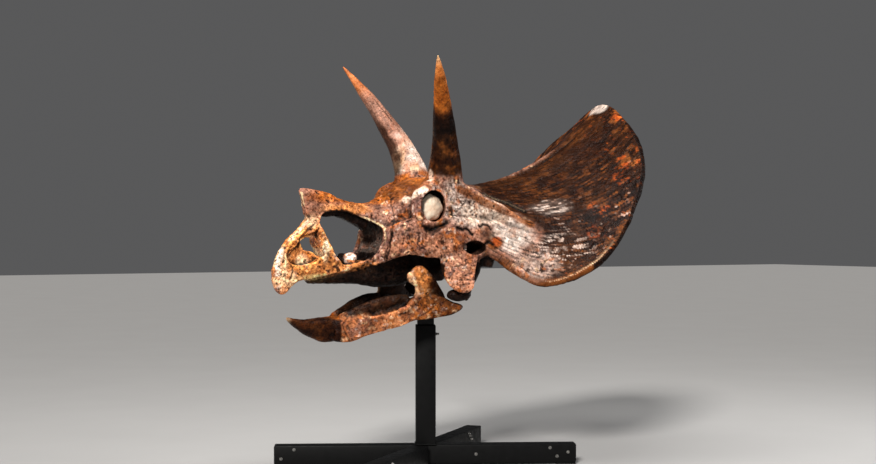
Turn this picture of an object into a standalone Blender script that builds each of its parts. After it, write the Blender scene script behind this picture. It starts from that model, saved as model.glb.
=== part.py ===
"""Triceratops skull on a black steel stand: metres, +Z up, snout towards -Y, animal's left at +X.

The origin is on the floor, under the middle of the stand's post.
"""
import math

import bmesh
import bpy
from mathutils import Matrix, Vector

# --- whole-object choices ---------------------------------------------------------------
GAP = 0.0004              # thin cut between two bones
SEAT_GAP = 0.0003         # clearance between touching made parts
VOXEL = 0.012             # grain of the fused bone forms
SMOOTH_ROUNDS = 4
RING = 20                 # points round a lofted section
BAR_STEPS = 5             # curve steps between two control points of a bar
SIDES = (("left", 1), ("right", -1))

# --- triangle budgets of the fused forms ---------------------------------------------------
CRANIUM_TRIANGLES = 3700
MANDIBLE_TRIANGLES = 900

# --- cranium: rows are (y, z low, z high, half width low, half width high) ----------------------
SNOUT = (
    (-0.997, 1.110, 1.170, 0.010, 0.008),
    (-0.980, 1.070, 1.235, 0.028, 0.018),
    (-0.955, 1.040, 1.285, 0.040, 0.024),
    (-0.925, 1.035, 1.330, 0.050, 0.030),
    (-0.890, 1.070, 1.365, 0.062, 0.036),
    (-0.840, 1.108, 1.405, 0.075, 0.042),
    (-0.780, 1.120, 1.480, 0.085, 0.050),
    (-0.700, 1.125, 1.550, 0.095, 0.065),
    (-0.620, 1.135, 1.570, 0.100, 0.080),
)
NASAL_ROOF = (
    (-0.829, 1.632, 1.641, 0.006, 0.004),
    (-0.815, 1.575, 1.641, 0.022, 0.012),
    (-0.800, 1.530, 1.641, 0.034, 0.016),
    (-0.785, 1.480, 1.640, 0.045, 0.020),
    (-0.740, 1.460, 1.636, 0.060, 0.030),
    (-0.660, 1.470, 1.622, 0.080, 0.045),
    (-0.570, 1.490, 1.580, 0.095, 0.060),
    (-0.480, 1.470, 1.560, 0.110, 0.075),
    (-0.380, 1.420, 1.565, 0.130, 0.090),
    (-0.300, 1.380, 1.605, 0.155, 0.110),
    (-0.220, 1.350, 1.665, 0.180, 0.130),
)
FACE = (
    (-0.700, 1.130, 1.400, 0.085, 0.070),
    (-0.600, 1.135, 1.480, 0.100, 0.090),
    (-0.500, 1.150, 1.500, 0.115, 0.100),
    (-0.420, 1.175, 1.520, 0.130, 0.115),
    (-0.330, 1.215, 1.560, 0.170, 0.140),
    (-0.240, 1.255, 1.630, 0.210, 0.170),
    (-0.140, 1.250, 1.690, 0.240, 0.200),
    (-0.040, 1.245, 1.720, 0.260, 0.210),
    (0.060, 1.245, 1.710, 0.265, 0.210),
    (0.140, 1.260, 1.675, 0.250, 0.190),
    (0.220, 1.280, 1.650, 0.190, 0.150),
    (0.300, 1.320, 1.620, 0.120, 0.110),
)
PALATE = (
    (-0.780, 1.095, 1.200, 0.035, 0.050),
    (-0.650, 1.090, 1.220, 0.050, 0.070),
    (-0.500, 1.088, 1.250, 0.060, 0.090),
    (-0.400, 1.075, 1.280, 0.075, 0.110),
    (-0.300, 1.065, 1.320, 0.090, 0.125),
    (-0.180, 1.080, 1.340, 0.095, 0.130),
    (-0.080, 1.130, 1.360, 0.095, 0.130),
    (0.050, 1.180, 1.380, 0.090, 0.120),
    (0.200, 1.240, 1.400, 0.070, 0.100),
)

# --- paired forms: rows are (y, x middle, z low, z high, half thickness) --------------------------
CHEEK = (
    (-0.420, 0.125, 1.185, 1.360, 0.028),
    (-0.340, 0.170, 1.228, 1.420, 0.042),
    (-0.240, 0.215, 1.258, 1.460, 0.052),
    (-0.140, 0.250, 1.242, 1.480, 0.058),
    (-0.050, 0.280, 1.236, 1.480, 0.058),
    (0.050, 0.305, 1.215, 1.480, 0.056),
    (0.140, 0.325, 1.225, 1.470, 0.050),
    (0.240, 0.350, 1.245, 1.460, 0.044),
    (0.320, 0.375, 1.240, 1.440, 0.034),
)
TEMPLE = (
    (0.000, 0.245, 1.350, 1.670, 0.050),
    (0.100, 0.275, 1.280, 1.670, 0.050),
    (0.200, 0.305, 1.260, 1.605, 0.045),
    (0.300, 0.340, 1.250, 1.560, 0.040),
    (0.380, 0.380, 1.220, 1.500, 0.034),
)
RAMUS = (
    (-0.640, 0.055, 0.760, 0.895, 0.034),
    (-0.540, 0.085, 0.758, 0.905, 0.036),
    (-0.440, 0.118, 0.800, 0.910, 0.036),
    (-0.340, 0.150, 0.826, 0.922, 0.037),
    (-0.260, 0.178, 0.848, 0.955, 0.037),
    (-0.190, 0.205, 0.874, 1.020, 0.036),
    (-0.090, 0.235, 0.884, 1.030, 0.034),
    (-0.030, 0.255, 0.897, 1.015, 0.034),
    (0.020, 0.271, 0.906, 0.986, 0.036),
    (0.058, 0.281, 0.926, 0.975, 0.034),
    (0.082, 0.286, 0.944, 0.966, 0.020),
)
TOOTH_ROW = (
    (-0.600, 0.052, 0.860, 0.920, 0.018),
    (-0.520, 0.082, 0.860, 0.955, 0.022),
    (-0.440, 0.110, 0.870, 0.992, 0.024),
    (-0.340, 0.142, 0.880, 1.022, 0.024),
    (-0.220, 0.175, 0.920, 1.030, 0.022),
)
PREDENTARY = (
    (-0.912, 0.896, 0.910, 0.006, 0.008),
    (-0.890, 0.872, 0.904, 0.015, 0.022),
    (-0.860, 0.848, 0.896, 0.022, 0.040),
    (-0.800, 0.806, 0.890, 0.030, 0.058),
    (-0.740, 0.776, 0.893, 0.035, 0.072),
    (-0.680, 0.755, 0.900, 0.040, 0.082),
    (-0.600, 0.757, 0.902, 0.045, 0.090),
    (-0.540, 0.765, 0.870, 0.030, 0.060),
)

# --- hanging plates: rows are (z, y front, y rear, x middle, half thickness) ---------------------
JUGAL = (
    (1.360, -0.020, 0.150, 0.296, 0.046),
    (1.290, -0.050, 0.155, 0.312, 0.048),
    (1.230, -0.068, 0.140, 0.330, 0.048),
    (1.180, -0.070, 0.118, 0.346, 0.046),
    (1.140, -0.068, 0.104, 0.362, 0.044),
    (1.090, -0.046, 0.094, 0.380, 0.040),
    (1.056, -0.016, 0.076, 0.394, 0.032),
    (1.038, 0.012, 0.048, 0.399, 0.018),
)
JUGAL_SLANT = 0.28         # how far the jugal turns outwards for each metre backwards
CORONOID = (
    (0.930, -0.300, -0.020, 0.212, 0.030),
    (1.000, -0.222, 0.008, 0.217, 0.028),
    (1.030, -0.196, -0.002, 0.219, 0.027),
    (1.060, -0.193, -0.024, 0.221, 0.027),
    (1.084, -0.212, -0.040, 0.222, 0.027),
    (1.100, -0.246, -0.052, 0.224, 0.028),
    (1.130, -0.252, -0.074, 0.226, 0.030),
    (1.155, -0.238, -0.100, 0.226, 0.029),
    (1.180, -0.210, -0.130, 0.227, 0.024),
    (1.197, -0.188, -0.155, 0.227, 0.014),
)

# --- bars: points are (x, y, z, radius) -------------------------------------------------------------
BROW_HORN = (
    (0.175, 0.025, 1.620, 0.130),
    (0.195, 0.018, 1.700, 0.112),
    (0.217, 0.010, 1.780, 0.096),
    (0.275, -0.025, 1.920, 0.076),
    (0.340, -0.075, 2.040, 0.063),
    (0.412, -0.127, 2.160, 0.049),
    (0.490, -0.185, 2.280, 0.031),
)
HORN_TIPS = {"left": (0.560, -0.238, 2.382, 0.007), "right": (0.590, -0.262, 2.425, 0.007)}
SQUAMOSAL_BAR = (
    (0.215, 0.050, 1.640, 0.070),
    (0.265, 0.150, 1.590, 0.056),
    (0.320, 0.290, 1.505, 0.052),
    (0.390, 0.430, 1.420, 0.044),
    (0.480, 0.580, 1.330, 0.028),
)
QUADRATE = (
    (0.292, 0.165, 1.330, 0.056),
    (0.290, 0.148, 1.190, 0.056),
    (0.300, 0.098, 1.090, 0.052),
    (0.300, 0.062, 1.004, 0.050),
)
PTERYGOID_WING = (
    (1.300, -0.160, 0.100, 0.105, 0.034),
    (1.200, -0.130, 0.085, 0.115, 0.030),
    (1.130, -0.080, 0.060, 0.125, 0.024),
    (1.100, -0.040, 0.040, 0.130, 0.014),
)
PTERYGOID = (
    (0.080, 0.080, 1.260, 0.050),
    (0.180, 0.100, 1.220, 0.030),
    (0.280, 0.100, 1.170, 0.034),
)
PAROCCIPITAL = (
    (0.060, 0.260, 1.430, 0.060),
    (0.180, 0.290, 1.400, 0.046),
    (0.330, 0.270, 1.360, 0.050),
)
REAR_PROCESS = (
    (0.320, 0.240, 1.330, 0.046),
    (0.322, 0.240, 1.250, 0.042),
    (0.322, 0.238, 1.184, 0.030),
)
CREST = (
    (0.000, 0.260, 1.618, 0.040),
    (0.000, 0.600, 1.704, 0.040),
    (0.000, 0.950, 1.881, 0.034),
    (0.000, 1.260, 2.116, 0.028),
)
CONDYLE = (
    (0.000, 0.240, 1.370, 0.070),
    (0.000, 0.350, 1.350, 0.048),
    (0.000, 0.395, 1.345, 0.050),
    (0.000, 0.430, 1.342, 0.030),
)
KNOB = (0.054, -0.529, 1.230)             # lump of bone on the naris floor
KNOB_SIZE = (0.034, 0.040, 0.038)
ORBIT_RIM = (0.235, -0.080, 1.545)
ORBIT_RIM_SIZE = (0.075, 0.150, 0.150)
BRAINCASE = (0.0, 0.190, 1.460)
BRAINCASE_SIZE = (0.170, 0.180, 0.170)

# --- frill sheet: left half of its root line and its free margin -----------------------------------
FRILL_ROOT = (
    (0.000, 0.180, 1.665),
    (0.120, 0.170, 1.640),
    (0.230, 0.140, 1.600),
    (0.280, 0.120, 1.520),
    (0.305, 0.120, 1.420),
    (0.325, 0.150, 1.345),
    (0.365, 0.215, 1.288),
)
FRILL_MARGIN = (
    (0.000, 1.315, 2.198),
    (0.270, 1.288, 2.078),
    (0.500, 1.220, 1.925),
    (0.655, 1.132, 1.750),
    (0.720, 1.022, 1.560),
    (0.745, 0.908, 1.380),
    (0.735, 0.770, 1.225),
    (0.690, 0.590, 1.122),
    (0.600, 0.430, 1.092),
    (0.492, 0.305, 1.185),
)
FRILL_THICKNESS = 0.042
FRILL_SAG = (0.170, 0.210, 0.160, 0.060, 0.000)   # dip below straight root-to-margin lines, from the midline
FRILL_ACROSS = 36         # steps along half the margin
FRILL_ALONG = 14          # steps from the root to the margin

# --- openings: outlines are (y, z) ----------------------------------------------------------------
NARIS = (
    (-0.730, 1.440), (-0.700, 1.495), (-0.625, 1.509), (-0.540, 1.499), (-0.440, 1.460),
    (-0.375, 1.422), (-0.358, 1.375), (-0.370, 1.320), (-0.402, 1.262), (-0.452, 1.223),
    (-0.535, 1.203), (-0.592, 1.206), (-0.640, 1.262), (-0.684, 1.345),
)
NOSTRIL_HOLE = (
    (-0.838, 1.335), (-0.800, 1.362), (-0.750, 1.352), (-0.720, 1.305), (-0.704, 1.262),
    (-0.728, 1.248), (-0.757, 1.276), (-0.812, 1.288),
)
SNOUT_FOSSA = (
    (-0.712, 1.440), (-0.760, 1.400), (-0.835, 1.370), (-0.865, 1.320), (-0.922, 1.255),
    (-0.905, 1.200), (-0.830, 1.190), (-0.750, 1.215), (-0.722, 1.270), (-0.726, 1.380),
)
FOSSA_FLOOR = 0.026       # half thickness of the plate left between the two fossae
ORBIT_HOLE = (0.280, -0.104, 1.540)
ORBIT_SLANT = -0.45       # forward shift of the socket for each metre outwards
ORBIT_HOLE_SIZE = (0.080, 0.092)          # half width, half height
ORBIT_FLOOR = 0.190                        # how far from the midline the socket's floor lies
ORBIT_FILL_SIZE = (0.064, 0.072)
ORBIT_FILL_THICKNESS = 0.034
ORBIT_FILL_SEAT = 0.178                    # how far from the midline the plaster disc's back lies
CHEEK_WINDOW = (0.345, 0.122, 1.298)
CHEEK_WINDOW_SIZE = (0.110, 0.066, 0.040)
ADDUCTOR_ROOM = (0.200, -0.120, 1.190)    # hollow above the coronoid process
ADDUCTOR_ROOM_SIZE = (0.058, 0.190, 0.100)


# --- stand, lined up with the long beam of its foot ---------------------------------------------------
BEAM_TURN = 63.0          # degrees from +X to the long beam
CROSS_TURN = 129.8        # degrees from +X to the crossing arms
BEAM_HALF = 0.900
BEAM_WIDTH = 0.100
BEAM_TOP = 0.123
PAD_HEIGHT = 0.010
PAD_LENGTH = 0.120
POST_WIDTH = 0.118
POST_TOP = 0.836
INNER_WIDTH = 0.098
INNER_TOP = 1.210
JAW_ROD_RADIUS = 0.015
JAW_ROD_Y = -0.030
JAW_ROD_Z = 0.955
JAW_ROD_END = 0.250

# --- colours -------------------------------------------------------------------------------------------
BONE_COLOUR = (0.30, 0.15, 0.07)
BONE_COLOURS = (
    ("brow_horn_left", (0.10, 0.05, 0.03)),
    ("brow_horn_right", (0.42, 0.30, 0.20)),
    ("rostral", (0.55, 0.32, 0.13)),
    ("premax", (0.55, 0.28, 0.09)),
    ("nasal", (0.48, 0.20, 0.05)),
    ("maxilla", (0.38, 0.20, 0.10)),
    ("parietal", (0.20, 0.09, 0.04)),
    ("squamosal", (0.36, 0.22, 0.15)),
    ("predentary", (0.18, 0.07, 0.03)),
    ("dentary", (0.42, 0.20, 0.07)),
)


# ==== mesh helpers ==================================================================================
def clear_scene():
    for obj in list(bpy.data.objects):
        bpy.data.objects.remove(obj, do_unlink=True)


def new_collection(name):
    group = bpy.data.collections.new(name)
    bpy.context.scene.collection.children.link(group)
    return group


def add_object(name, mesh, group):
    obj = bpy.data.objects.new(name, mesh)
    group.objects.link(obj)
    return obj


def mesh_of(bm, name):
    bmesh.ops.recalc_face_normals(bm, faces=bm.faces[:])
    mesh = bpy.data.meshes.new(name)
    bm.to_mesh(mesh)
    bm.free()
    return mesh


def loft(name, rings):
    """A closed mesh through rings of equally many points."""
    bm = bmesh.new()
    rows = [[bm.verts.new(point) for point in ring] for ring in rings]
    count = len(rows[0])
    for low, high in zip(rows, rows[1:]):
        for i in range(count):
            j = (i + 1) % count
            bm.faces.new((low[i], low[j], high[j], high[i]))
    bm.faces.new(rows[0])
    bm.faces.new(rows[-1])
    return mesh_of(bm, name)


def oval(power):
    """Unit superellipse points as (across, up) pairs."""
    points = []
    for i in range(RING):
        turn = 2 * math.pi * i / RING
        c, s = math.cos(turn), math.sin(turn)
        points.append((math.copysign(abs(c) ** (2 / power), c), math.copysign(abs(s) ** (2 / power), s)))
    return points


def midline_loft(name, rows, power=2.6):
    rings = []
    for y, z_low, z_high, half_low, half_high in rows:
        middle = (z_low + z_high) / 2
        half_height = (z_high - z_low) / 2
        ring = []
        for across, up in oval(power):
            half = half_low + (half_high - half_low) * (up + 1) / 2
            ring.append((across * half, y, middle + up * half_height))
        rings.append(ring)
    return loft(name, rings)


def side_loft(name, rows, side, power=2.6):
    rings = []
    for y, x, z_low, z_high, half in rows:
        middle = (z_low + z_high) / 2
        half_height = (z_high - z_low) / 2
        rings.append([(side * (x + across * half), y, middle + up * half_height)
                      for across, up in oval(power)])
    return loft(name, rings)


def hanging_loft(name, rows, side, power=2.6, slant=0.0):
    rings = []
    for z, y_front, y_rear, x, half in rows:
        middle = (y_front + y_rear) / 2
        half_length = (y_rear - y_front) / 2
        rings.append([(side * (x + across * half + slant * along * half_length), middle + along * half_length, z)
                      for across, along in oval(power)])
    return loft(name, rings)


def jugal_plate(name, rows, side):
    return hanging_loft(name, rows, side, slant=JUGAL_SLANT)


def spline(points, steps):
    """Smooth points through the given ones (Catmull-Rom), of any dimension."""
    ends = [tuple(2 * a - b for a, b in zip(points[0], points[1]))]
    tail = [tuple(2 * a - b for a, b in zip(points[-1], points[-2]))]
    row = ends + [tuple(p) for p in points] + tail
    result = []
    for i in range(1, len(row) - 2):
        for step in range(steps):
            t = step / steps
            result.append(tuple(
                0.5 * (2 * b + (c - a) * t + (2 * a - 5 * b + 4 * c - d) * t ** 2
                       + (3 * b - a - 3 * c + d) * t ** 3)
                for a, b, c, d in zip(row[i - 1], row[i], row[i + 1], row[i + 2])))
    result.append(tuple(points[-1]))
    return result


def spline_at(points, share):
    """The point at a share from 0 to 1 along a smooth line through the points."""
    fine = spline(points, 12)
    place = share * (len(fine) - 1)
    low = min(int(place), len(fine) - 2)
    rest = place - low
    return Vector(fine[low]).lerp(Vector(fine[low + 1]), rest)


def bar(name, points, side):
    """A tapered round bar: a curve with bevel, made a mesh."""
    data = bpy.data.curves.new(name, "CURVE")
    data.dimensions = "3D"
    data.bevel_depth = 1.0
    data.bevel_resolution = 4
    data.use_fill_caps = True
    line = data.splines.new("POLY")
    fine = spline(points, BAR_STEPS)
    line.points.add(len(fine) - 1)
    for point, (x, y, z, radius) in zip(line.points, fine):
        point.co = (side * x, y, z, 1.0)
        point.radius = max(radius, 0.004)
    obj = add_object(name, data, bpy.context.scene.collection)
    bpy.context.view_layer.update()
    mesh = bpy.data.meshes.new_from_object(obj.evaluated_get(bpy.context.evaluated_depsgraph_get()))
    bpy.data.objects.remove(obj, do_unlink=True)
    bm = bmesh.new()
    bm.from_mesh(mesh)
    bpy.data.meshes.remove(mesh)
    bmesh.ops.remove_doubles(bm, verts=bm.verts[:], dist=0.00001)
    return mesh_of(bm, name)


def ball(name, centre, size):
    bm = bmesh.new()
    bmesh.ops.create_uvsphere(bm, u_segments=24, v_segments=16, radius=1.0)
    bmesh.ops.scale(bm, vec=size, verts=bm.verts[:])
    bmesh.ops.translate(bm, vec=centre, verts=bm.verts[:])
    return mesh_of(bm, name)


def prism(name, outline, x_low, x_high, shrink=1.0, rounds=3):
    """An outline in (y, z) carried along X; the end at x_low may be shrunk about its middle."""
    fine = spline(list(outline) + [outline[0]], rounds)[:-1]
    mid_y = sum(p[0] for p in fine) / len(fine)
    mid_z = sum(p[1] for p in fine) / len(fine)
    rings = [
        [(x_low, mid_y + (y - mid_y) * shrink, mid_z + (z - mid_z) * shrink) for y, z in fine],
        [(x_high, y, z) for y, z in fine],
    ]
    return loft(name, rings)


def both_sides(points):
    """A line given from the midline outwards, carried on over the other side."""
    mirrored = [(-x, y, z) for x, y, z in reversed(points[1:])]
    return mirrored + list(points)


def frill_sheet(name):
    """The curved sheet of the frill, thickened, over both sides of the midline."""
    bm = bmesh.new()
    grid = []
    roots = both_sides(FRILL_ROOT)
    margins = both_sides(FRILL_MARGIN)
    sags = both_sides([(0, 0, dip) for dip in FRILL_SAG])
    for i in range(2 * FRILL_ACROSS + 1):
        share = i / (2 * FRILL_ACROSS)
        root = spline_at(roots, share)
        margin = spline_at(margins, share)
        sag = spline_at(sags, share).z
        column = []
        for j in range(FRILL_ALONG + 1):
            t = j / FRILL_ALONG
            point = root.lerp(margin, t)
            point.z -= sag * 4 * t * (1 - t)
            column.append(bm.verts.new(point))
        grid.append(column)
    for left, right in zip(grid, grid[1:]):
        for j in range(FRILL_ALONG):
            bm.faces.new((left[j], right[j], right[j + 1], left[j + 1]))
    mesh = mesh_of(bm, name)
    obj = add_object(name, mesh, bpy.context.scene.collection)
    solid = obj.modifiers.new("thickness", "SOLIDIFY")
    solid.thickness = FRILL_THICKNESS
    solid.offset = 0.0
    return applied(obj)


def applied(obj):
    """The evaluated mesh of an object, which is then removed."""
    bpy.context.view_layer.update()
    mesh = bpy.data.meshes.new_from_object(obj.evaluated_get(bpy.context.evaluated_depsgraph_get()))
    bpy.data.objects.remove(obj, do_unlink=True)
    return mesh


def fused(name, meshes, voxel, triangles, cutters, seats, late=()):
    """One bone body: forms fused on a voxel grid, smoothed, opened by the cutters and simplified.

    Late forms are added once the openings are cut. The seats of other parts are cut last, so that
    their faces stay exact.
    """
    bm = bmesh.new()
    for mesh in meshes:
        bm.from_mesh(mesh)
    joined = bpy.data.meshes.new(name)
    bm.to_mesh(joined)
    bm.free()
    obj = add_object(name, joined, bpy.context.scene.collection)
    remesh = obj.modifiers.new("fuse", "REMESH")
    remesh.mode = "VOXEL"
    remesh.voxel_size = voxel
    smooth = obj.modifiers.new("smooth", "SMOOTH")
    smooth.factor = 0.5
    smooth.iterations = SMOOTH_ROUNDS
    body = applied(obj)
    for cutter in cutters:
        body = combined(name, body, cutter, "DIFFERENCE")
    for form in late:
        body = combined(name, body, form, "UNION")
    obj = add_object(name, body, bpy.context.scene.collection)
    thin = obj.modifiers.new("simplify", "DECIMATE")
    thin.ratio = min(1.0, triangles / triangle_count(body))
    body = applied(obj)
    for seat in seats:
        body = combined(name, body, seat, "DIFFERENCE")
    return largest_body(body)


def triangle_count(mesh):
    return sum(len(face.vertices) - 2 for face in mesh.polygons)


def combined(name, mesh, tool, operation):
    """The mesh after an exact Boolean with the tool mesh."""
    target = add_object(name, mesh, bpy.context.scene.collection)
    cutter = add_object("tool", tool, bpy.context.scene.collection)
    cut = target.modifiers.new("cut", "BOOLEAN")
    cut.operation = operation
    cut.object = cutter
    result = applied(target)
    bpy.data.objects.remove(cutter, do_unlink=True)
    return result


def largest_body(mesh):
    """Only the biggest connected body of a mesh, as triangles."""
    bm = bmesh.new()
    bm.from_mesh(mesh)
    bmesh.ops.triangulate(bm, faces=bm.faces[:])
    groups = []
    seen = set()
    for start in bm.verts:
        if start in seen:
            continue
        group = {start}
        queue = [start]
        while queue:
            for edge in queue.pop().link_edges:
                for vert in edge.verts:
                    if vert not in group:
                        group.add(vert)
                        queue.append(vert)
        seen |= group
        groups.append(group)
    keep = max(groups, key=len)
    bmesh.ops.delete(bm, geom=[v for v in bm.verts if v not in keep], context="VERTS")
    result = bpy.data.meshes.new(mesh.name)
    bm.to_mesh(result)
    bm.free()
    return result


def block(low, high, lean=0.0, about="Y", pivot=(0.0, 0.0, 0.0), grow=0.0):
    """A box between two corners, leaned by some degrees about a pivot, grown by a cut's width."""
    bm = bmesh.new()
    bmesh.ops.create_cube(bm, size=1.0)
    size = [b - a + 2 * grow for a, b in zip(low, high)]
    middle = [(a + b) / 2 for a, b in zip(low, high)]
    bmesh.ops.scale(bm, vec=size, verts=bm.verts[:])
    bmesh.ops.translate(bm, vec=middle, verts=bm.verts[:])
    bmesh.ops.rotate(bm, cent=pivot, matrix=Matrix.Rotation(math.radians(lean), 3, about), verts=bm.verts[:])
    return mesh_of(bm, "block")


def carve(name, mesh, region):
    """The part of a mesh inside a region, then the rest of it beyond a thin cut.

    The region is a function of the cut's width, so that both sides share one shape.
    """
    inside = largest_body(combined(name, mesh.copy(), region(0.0), "INTERSECT"))
    rest = combined(name, mesh, region(GAP), "DIFFERENCE")
    return inside, rest


# ==== bone bodies ====================================================================================
def paired(maker, name, rows):
    return [maker(name, rows, side) for _, side in SIDES]


def cranium_forms():
    forms = [
        midline_loft("snout", SNOUT),
        midline_loft("nasal roof", NASAL_ROOF),
        midline_loft("face", FACE, power=3.0),
        midline_loft("palate", PALATE),
        ball("braincase", BRAINCASE, BRAINCASE_SIZE),
        bar("condyle", CONDYLE, 1),
        bar("crest", CREST, 1),
        frill_sheet("frill"),
    ]
    forms += paired(side_loft, "cheek", CHEEK)
    forms += paired(side_loft, "temple", TEMPLE)
    forms += paired(jugal_plate, "jugal", JUGAL)
    forms += paired(hanging_loft, "pterygoid wing", PTERYGOID_WING)
    for rows in (SQUAMOSAL_BAR, QUADRATE, PTERYGOID, PAROCCIPITAL, REAR_PROCESS):
        forms += paired(bar, "bar", rows)
    forms += [bar("brow horn", BROW_HORN + (HORN_TIPS[tag],), side) for tag, side in SIDES]
    x, y, z = ORBIT_RIM
    forms += [ball("orbit rim", (side * x, y, z), ORBIT_RIM_SIZE) for _, side in SIDES]
    return forms


def orbit_disc(name, side, x_low, x_high, half_width, half_height):
    """A short oval drum across the orbit, between two distances from the midline."""
    x_rim, y_rim, z = ORBIT_HOLE
    rings = []
    for x in (x_low, x_high):
        y = y_rim + ORBIT_SLANT * (x - x_rim)
        rings.append([(side * x, y + a * half_width, z + b * half_height) for a, b in oval(2.0)])
    return loft(name, rings)


def cranium_cutters():
    cutters = [prism("naris", NARIS, -0.4, 0.4), prism("hole", NOSTRIL_HOLE, -0.3, 0.3)]
    for _, side in SIDES:
        cutters.append(prism("fossa", SNOUT_FOSSA, side * FOSSA_FLOOR, side * 0.3, shrink=0.9))
        cutters.append(orbit_disc("orbit", side, ORBIT_FLOOR, 0.45, *ORBIT_HOLE_SIZE))
        x, y, z = CHEEK_WINDOW
        cutters.append(ball("window", (side * x, y, z), CHEEK_WINDOW_SIZE))
        x, y, z = ADDUCTOR_ROOM
        cutters.append(ball("jaw room", (side * x, y, z), ADDUCTOR_ROOM_SIZE))
    return cutters


def mandible_forms():
    forms = [midline_loft("predentary", PREDENTARY)]
    forms += paired(side_loft, "ramus", RAMUS)
    forms += paired(side_loft, "tooth row", TOOTH_ROW)
    forms += paired(hanging_loft, "coronoid", CORONOID)
    return forms


# ==== parting into named bones ========================================================================
def horn_region(side):
    """A box round a brow horn, above a cut square to the horn's axis."""
    foot = Vector(BROW_HORN[2][:3])
    axis = (Vector(BROW_HORN[3][:3]) - foot).normalized()

    def region(grow):
        bm = bmesh.new()
        bmesh.ops.create_cube(bm, size=1.0)
        bmesh.ops.scale(bm, vec=(0.50 + 2 * grow, 0.50 + 2 * grow, 0.9 + 2 * grow), verts=bm.verts[:])
        bmesh.ops.translate(bm, vec=(0, 0, 0.45), verts=bm.verts[:])
        turn = axis.to_track_quat("Z", "Y").to_matrix().to_4x4()
        bmesh.ops.transform(bm, matrix=Matrix.Translation(foot) @ turn, verts=bm.verts[:])
        bmesh.ops.scale(bm, vec=(side, 1, 1), verts=bm.verts[:])
        return mesh_of(bm, "horn region")
    return region


def squamosal_region(side):
    """Everything outside the slanting line between the squamosal and the parietal."""
    plan = ((0.175, 0.170), (0.892, 1.670), (1.200, 1.670), (1.200, 0.170))

    def region(grow):
        shifted = [(x - grow, y - grow) for x, y in plan]
        return loft("squamosal region", [[(side * x, y, z) for x, y in shifted] for z in (0.9, 2.5)])
    return region


def braincase_region(grow):
    """What lies under the frill's sheet and behind the face."""
    half = ((0.50, 0.90), (0.50, 1.40), (0.30, 1.42), (0.20, 1.49), (0.12, 1.57))
    outline = [(x + grow, z + grow) for x, z in half]
    outline += [(-x, z) for x, z in reversed(outline)]
    return loft("braincase region", [[(x, y, z) for x, z in outline] for y in (0.175 - grow, 0.60)])


def box_region(low, high, side=1, **lean):
    def region(grow):
        if side > 0:
            return block(low, high, grow=grow, **lean)
        mesh = block(low, high, grow=grow, **lean)
        bm = bmesh.new()
        bm.from_mesh(mesh)
        bmesh.ops.scale(bm, vec=(-1, 1, 1), verts=bm.verts[:])
        return mesh_of(bm, "mirrored block")
    return region


def part_cranium(rest):
    """Names and meshes of the cranium's bones, in the order they are cut away."""
    bones = {}
    for tag, side in SIDES:
        bones["brow_horn_" + tag], rest = carve("horn", rest, horn_region(side))
    bones["nasal_horn"], rest = carve("horn", rest, box_region(
        (-0.3, -0.95, 1.505), (0.3, -0.58, 1.90), lean=33.0, about="X", pivot=(0.0, -0.780, 1.505)))
    bones["rostral"], rest = carve("beak", rest, box_region((-0.3, -1.2, 0.9), (0.3, -0.880, 1.46)))
    bones["premaxillae"], rest = carve("premaxillae", rest, box_region((-0.3, -1.0, 0.9), (0.3, -0.600, 1.425)))
    bones["nasals"], rest = carve("nasals", rest, box_region((-0.4, -0.95, 1.420), (0.4, -0.285, 1.90)))
    for tag, side in SIDES:
        bones["maxilla_" + tag], rest = carve("maxilla", rest, box_region(
            (0.0, -0.80, 0.9), (0.6, -0.230, 1.440), side))
        lean = {"lean": -13.0, "about": "Y", "pivot": (0.320, 0.0, 1.200)}
        bones["epijugal_" + tag], rest = carve("epijugal", rest, box_region(
            (0.320, -0.20, 0.85), (0.60, 0.22, 1.090), side, **lean))
        bones["jugal_" + tag], rest = carve("jugal", rest, box_region(
            (0.320, -0.145, 0.95), (0.60, 0.20, 1.330), side, **lean))
        bones["quadrate_" + tag], rest = carve("quadrate", rest, box_region(
            (0.215, -0.06, 0.85), (0.50, 0.205, 1.210), side))
        bones["squamosal_" + tag], rest = carve("squamosal", rest, squamosal_region(side))
    bones["braincase"], rest = carve("braincase", rest, braincase_region)
    bones["parietal"], rest = carve("parietal", rest, box_region((-0.9, 0.175, 1.2), (0.9, 1.60, 2.6)))
    for tag, side in SIDES:
        bones["orbital_" + tag], rest = carve("orbital", rest, box_region((0.0, -0.60, 0.9), (0.9, 0.60, 2.3), side))
    return bones


def part_mandible(rest):
    bones = {}
    bones["predentary"], rest = carve("predentary", rest, box_region((-0.3, -1.1, 0.5), (0.3, -0.600, 1.2)))
    for tag, side in SIDES:
        bones["dentary_" + tag], rest = carve("dentary", rest, box_region(
            (0.0, -0.80, 0.5), (0.6, -0.110, 1.4), side))
        bones["surangular_" + tag], rest = carve("surangular", rest, box_region(
            (0.0, -0.50, 0.5), (0.6, 0.40, 1.4), side))
    return bones


# ==== stand ===========================================================================================
def upright(name, half_width, z_low, z_high, grow=0.0):
    """A square column on the post's axis, turned with the long beam."""
    reach = half_width + grow
    return block((-reach, -reach, z_low - grow), (reach, reach, z_high + grow), BEAM_TURN, "Z")


def arm(start, end, turn, z_low=None, z_high=None, half_width=None):
    """A box beam along a direction in the floor plane."""
    half_width = half_width or BEAM_WIDTH / 2
    low = PAD_HEIGHT + SEAT_GAP if z_low is None else z_low
    high = BEAM_TOP if z_high is None else z_high
    return block((start, -half_width, low), (end, half_width, high), turn, "Z")


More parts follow.
